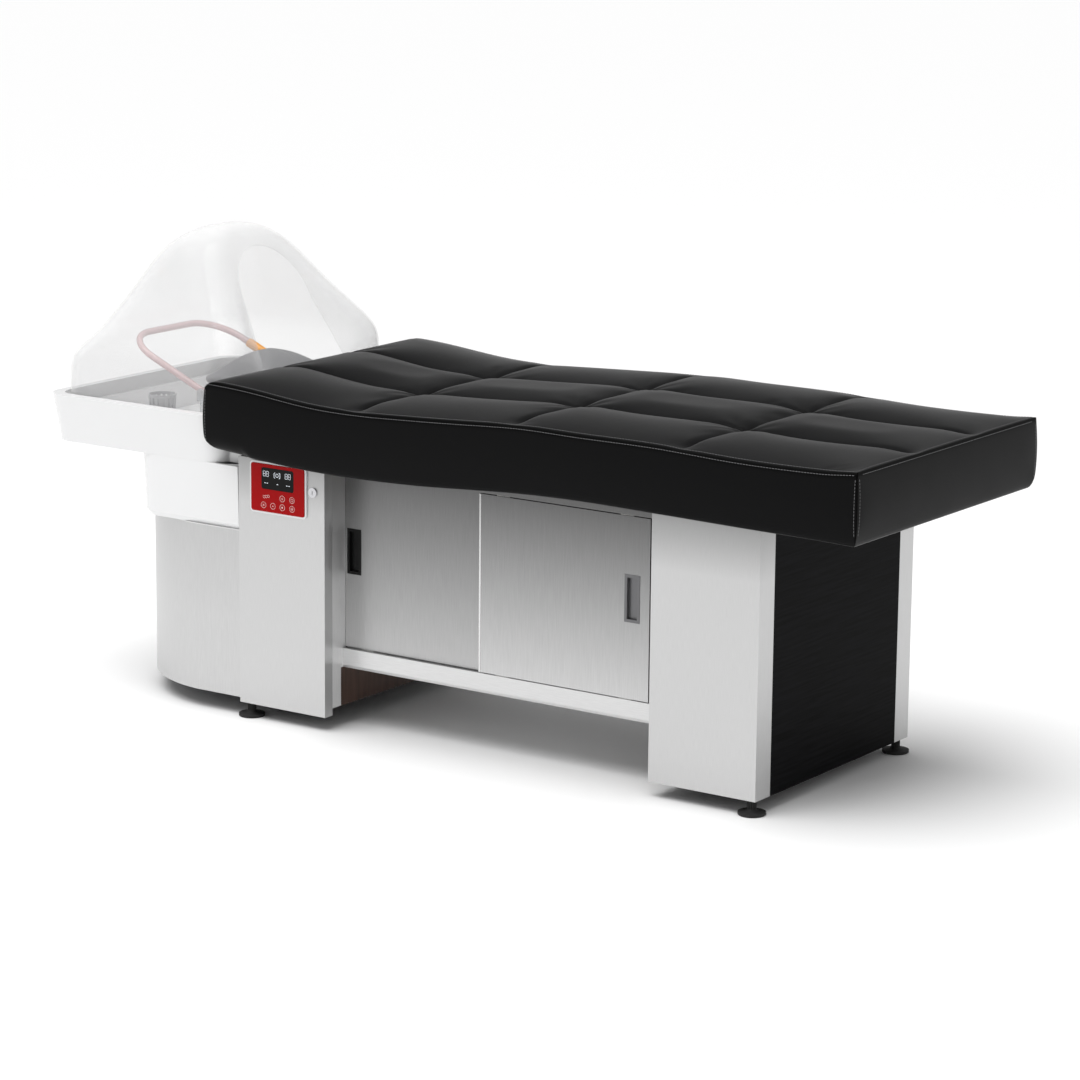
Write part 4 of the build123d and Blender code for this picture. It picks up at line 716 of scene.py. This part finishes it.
# The spray ring is a bow of clear pink tube on two clear posts, with an amber rubber
# sleeve on its far leg.
ring_tube, shader = new_finish("ring_pink_tube", (0.8, 0.6, 0.6), 0.15)
shader.inputs["Transmission Weight"].default_value = 0.5
shader.inputs["IOR"].default_value = 1.4
dress(("spray_ring",), ring_tube)
post_plastic, shader = new_finish("post_clear_plastic", (0.85, 0.87, 0.88), 0.2)
shader.inputs["Transmission Weight"].default_value = 0.6
shader.inputs["IOR"].default_value = 1.4
dress(("ring_posts",), post_plastic)
amber_rubber = plain_finish("sleeve_amber_rubber", (0.8, 0.36, 0.07), 0.4)
dress(("amber_sleeve",), amber_rubber)

# Behind the shroud a pump and a heater in grey paint serve the spray ring through grey
# rubber hoses. The power supply has the same paint.
motor_grey = plain_finish("motor_grey_paint", (0.2, 0.21, 0.22), 0.4, 0.3)
dress(("pump", "heater", "power_supply"), motor_grey)
hose_grey = plain_finish("hose_grey_rubber", (0.22, 0.23, 0.24), 0.4)
dress(("pump_hoses",), hose_grey)

# The hood is one sheet of clear acrylic blown to shape: an upright skirt, a dome that
# narrows to its crown, and a dished mouth for the neck. It stands in the basin's rim
# and lifts off.
hood_wall = 0.003
hood_arc_columns = 6
hood_straight_columns = 12
hood_crown = (-0.736, 0, 0.9695)
# each level: height, front, back, half width, front corner, back corner, upwards
hood_levels = (
    (0.5925, -0.533, -0.971, 0.279, 0.05, 0.053),
    (0.621, -0.533, -0.971, 0.279, 0.05, 0.053),
    (0.66, -0.532, -0.971, 0.28, 0.048, 0.055),
    (0.694, -0.532, -0.968, 0.28, 0.046, 0.06),
    (0.712, -0.532, -0.958, 0.277, 0.043, 0.066),
    (0.73, -0.533, -0.942, 0.27, 0.04, 0.074),
    (0.752, -0.54, -0.925, 0.256, 0.037, 0.08),
    (0.775, -0.556, -0.913, 0.238, 0.035, 0.082),
    (0.802, -0.577, -0.901, 0.217, 0.034, 0.082),
    (0.826, -0.597, -0.889, 0.199, 0.034, 0.08),
    (0.85, -0.616, -0.877, 0.183, 0.034, 0.077),
    (0.875, -0.634, -0.863, 0.168, 0.034, 0.072),
    (0.9, -0.651, -0.848, 0.151, 0.035, 0.065),
    (0.921, -0.664, -0.833, 0.135, 0.037, 0.06),
    (0.941, -0.678, -0.813, 0.113, 0.038, 0.05),
    (0.957, -0.694, -0.788, 0.083, 0.032, 0.037),
    (0.966, -0.71, -0.764, 0.049, 0.02, 0.022),
    (0.969, -0.727, -0.745, 0.018, 0.008, 0.008),
)
mouth_foot = Vector((-0.5755, 0, 0.739))
mouth_lean = math.radians(27)
mouth_out = Vector((math.cos(mouth_lean), 0, math.sin(mouth_lean)))
mouth_up = Vector((-math.sin(mouth_lean), 0, math.cos(mouth_lean)))
mouth_half = 0.137
mouth_shoulder = 0.109
mouth_height = 0.209
mouth_drop = 0.07
mouth_shoulder_share = 0.38
dish_behind = 0.03
dish_foot = 0.63
dish_top_share = 0.97
dish_top_pull = 0.9
dish_gap = 0.0008
dish_slope = 1.6
dish_round = 0.035
dish_softness = 0.004


def hood_outline(level, corner_steps, straight_steps):
    """Points round one level of the hood: straight sides with an arc at each corner."""
    height, front, back, half, front_corner, back_corner = level
    centres = ((front - front_corner, half - front_corner, front_corner, 0),
               (back + back_corner, half - back_corner, back_corner, 90),
               (back + back_corner, -half + back_corner, back_corner, 180),
               (front - front_corner, -half + front_corner, front_corner, 270))
    arcs = [[(x + reach * math.cos(math.radians(start + 90 * step / corner_steps)),
              y + reach * math.sin(math.radians(start + 90 * step / corner_steps)), height)
             for step in range(corner_steps + 1)] for x, y, reach, start in centres]
    points = []
    for number, arc in enumerate(arcs):
        points += arc
        first, last = arc[-1], arcs[(number + 1) % 4][0]
        points += [tuple(a + (b - a) * step / straight_steps for a, b in zip(first, last))
                   for step in range(1, straight_steps)]
    return points


def mouth_edge(rise):
    """Half the mouth's width at one height above its foot, along its leaning plane."""
    shoulder_up = mouth_shoulder_share * mouth_height
    if rise < shoulder_up:
        return mouth_half + (mouth_shoulder - mouth_half) * (rise + mouth_drop) / (shoulder_up + mouth_drop)
    arc = (rise - shoulder_up) / (mouth_height - shoulder_up)
    return mouth_shoulder * math.sqrt(max(0, 1 - arc**2.1))


def dished(point):
    """A point of the hood's front, moved in to the funnel that leads to the mouth."""
    from_foot = point - mouth_foot
    out = from_foot.dot(mouth_out)
    rise = from_foot.dot(mouth_up)
    if out < -dish_behind or point.z < dish_foot:
        return point
    clamped = min(max(rise, -mouth_drop), mouth_height * dish_top_share)
    outside = math.hypot(max(0, abs(point.y) - mouth_edge(clamped)), max(0, rise - clamped) * dish_top_pull,
                         max(0, -mouth_drop - rise))
    allowed = dish_gap + dish_slope * outside**2 / (outside + dish_round)
    if out <= allowed:
        return point
    excess = out - allowed
    return point - mouth_out * (excess - dish_softness * (1 - math.exp(-excess / dish_softness)))


outline_points = [hood_outline(level, hood_arc_columns, hood_straight_columns) for level in hood_levels]
hood_columns = len(outline_points[0])
ring_step = 0.1
start_radius = 0.3
bpy.ops.object.select_all(action="DESELECT")
bpy.ops.mesh.primitive_circle_add(vertices=hood_columns, radius=start_radius, fill_type="NOTHING",
                                  location=(0, 0, 0))
clear_hood = bpy.context.object
clear_hood.name = "clear_hood"
bpy.ops.object.mode_set(mode="EDIT")
bpy.ops.mesh.select_all(action="SELECT")
for level in hood_levels:
    bpy.ops.mesh.extrude_region_move(TRANSFORM_OT_translate={"value": (0, 0, ring_step)})
bpy.ops.mesh.merge(type="CENTER")
bpy.ops.mesh.select_all(action="SELECT")
bpy.ops.mesh.normals_make_consistent(inside=False)
bpy.ops.object.mode_set(mode="OBJECT")
for vertex in clear_hood.data.vertices:
    level = round(vertex.co.z / ring_step)
    if math.hypot(vertex.co.x, vertex.co.y) < start_radius / 2:
        vertex.co = hood_crown
        continue
    column = round(math.atan2(vertex.co.y, vertex.co.x) / (2 * math.pi) * hood_columns)
    vertex.co = dished(Vector(outline_points[level][column % hood_columns]))


finish_modifier(clear_hood, "smooth", "SUBSURF", levels=2, render_levels=2)
finish_modifier(clear_hood, "wall", "SOLIDIFY", thickness=hood_wall, offset=-1)
arch_turn = math.radians(115)
cutter_reach = 0.08
bpy.ops.object.select_all(action="DESELECT")
bpy.ops.mesh.primitive_circle_add(vertices=96, radius=1, fill_type="NGON", location=(0, 0, 0))
mouth_cutter = bpy.context.object
for vertex in mouth_cutter.data.vertices:
    turn = math.atan2(vertex.co.x, vertex.co.y)
    if abs(turn) <= arch_turn:
        rise = -mouth_drop + (mouth_height + mouth_drop) * math.cos(abs(turn) / arch_turn * math.pi / 2)
        across = math.copysign(mouth_edge(rise), turn)
    else:
        rise = -mouth_drop
        across = mouth_half * math.copysign((math.pi - abs(turn)) / (math.pi - arch_turn), turn)
    vertex.co = mouth_foot + mouth_up * rise + Vector((0, across, 0)) - mouth_out * cutter_reach
bpy.ops.object.mode_set(mode="EDIT")
bpy.ops.mesh.select_all(action="SELECT")
bpy.ops.mesh.extrude_region_move(TRANSFORM_OT_translate={"value": tuple(mouth_out * (2 * cutter_reach))})
bpy.ops.mesh.select_all(action="SELECT")
bpy.ops.mesh.normals_make_consistent(inside=False)
bpy.ops.object.mode_set(mode="OBJECT")
finish_modifier(clear_hood, "mouth", "BOOLEAN", object=mouth_cutter, operation="DIFFERENCE", solver="EXACT")
bpy.data.objects.remove(mouth_cutter)
bpy.ops.object.shade_smooth_by_angle(angle=math.radians(40))
acrylic_edge_highlight, shader = new_finish("hood_acrylic_painted_edge_highlight", (0.8, 0.8, 0.81), 0.07)
shader.inputs["IOR"].default_value = 1.45
# towards the hood's edges as seen from the camera its colour turns from grey to white and it grows more
# opaque: a painted highlight and painted reflection along its silhouettes
facing = add_node(acrylic_edge_highlight, "ShaderNodeLayerWeight", Blend=0.3)
edge_alpha = add_node(acrylic_edge_highlight, "ShaderNodeMapRange", To_Min=0.07, To_Max=0.5)
join(acrylic_edge_highlight, facing.outputs["Facing"], edge_alpha.inputs["Value"])
join(acrylic_edge_highlight, edge_alpha.outputs["Result"], shader.inputs["Alpha"])
colour_range(acrylic_edge_highlight, shader, facing.outputs["Facing"], ((0.0, (0.74, 0.74, 0.75)), (0.6, grey(0.98))))
raise_surface(acrylic_edge_highlight, shader, drawn_grain(acrylic_edge_highlight, (1, 1, 14), 5, 2), 0.25, 0.002)
clear_hood.data.materials.clear()
clear_hood.data.materials.append(acrylic_edge_highlight)
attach(clear_hood, "hood")
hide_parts("hood")

# The neck rest is a domed pad of soft grey gel in a thin skin. It lies on a saddle
# at the basin's rim, thick and round at its edge, with one crease across its crown.
pad_slack = 0.001
pad_round = 0.0135
pad_headroom = 0.004
fold_depth = 0.0028
fold_width = 0.003
fold_place = 0.012
fold_slant = 0.02
pad_low, pad_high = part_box("neck_rest")
pad_centre = ((pad_low[0] + pad_high[0]) / 2, (pad_low[1] + pad_high[1]) / 2)
pad_reach = ((pad_high[0] - pad_low[0]) / 2 - pad_slack, (pad_high[1] - pad_low[1]) / 2 - pad_slack)
pad_crown = pad_high[2] - pad_low[2] - 2 * pad_round - pad_headroom
neck_pad, pad_places = padded_block("neck_pad", 36, 48, 6)
pad_held = []
for vertex, (along, across, level) in zip(neck_pad.data.vertices, pad_places):
    u, v = 2 * along - 1, 2 * across - 1
    bow_u, bow_v = abs(u), abs(v)
    out = max(bow_u, bow_v)
    square = out / (bow_u**7 + bow_v**7)**(1 / 7) if out > 1e-6 else 1
    turn = 2 * level - 1
    inset = pad_round * (1 - math.sqrt(max(0, 1 - turn * turn)))
    height = pad_low[2] + pad_round * (1 + turn)
    place_y = v * square * (pad_reach[1] - inset)
    if level > nearly_top:
        fold = fold_depth * math.exp(-((place_y - fold_place - fold_slant * u) / fold_width)**2)
        height += pad_crown * (1 - out**2) * (1 - 0.25 * v * v)
        height -= fold * max(0, 1 - out**6) * (0.4 + 0.6 * max(0, u))
    pad_held.append(level < nearly_none)
    vertex.co = (pad_centre[0] + u * square * (pad_reach[0] - inset), pad_centre[1] + place_y, height)
pressed(neck_pad, pad_held, 1.2, 0.0025, 8)
finish_modifier(neck_pad, "smooth", "SUBSURF", levels=1, render_levels=1)
bpy.ops.object.shade_smooth()
gel_grey, shader = new_finish("neck_gel_grey", (0.235, 0.235, 0.24), 0.36)
shader.inputs["Subsurface Weight"].default_value = 0.1
shader.inputs["Subsurface Radius"].default_value = (0.01, 0.01, 0.01)
raise_surface(gel_grey, shader, drawn_grain(gel_grey, (1, 1, 1), 60, 3), 0.1, 0.0008)
neck_pad.data.materials.append(gel_grey)
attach(neck_pad, "bed")
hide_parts("neck_rest")
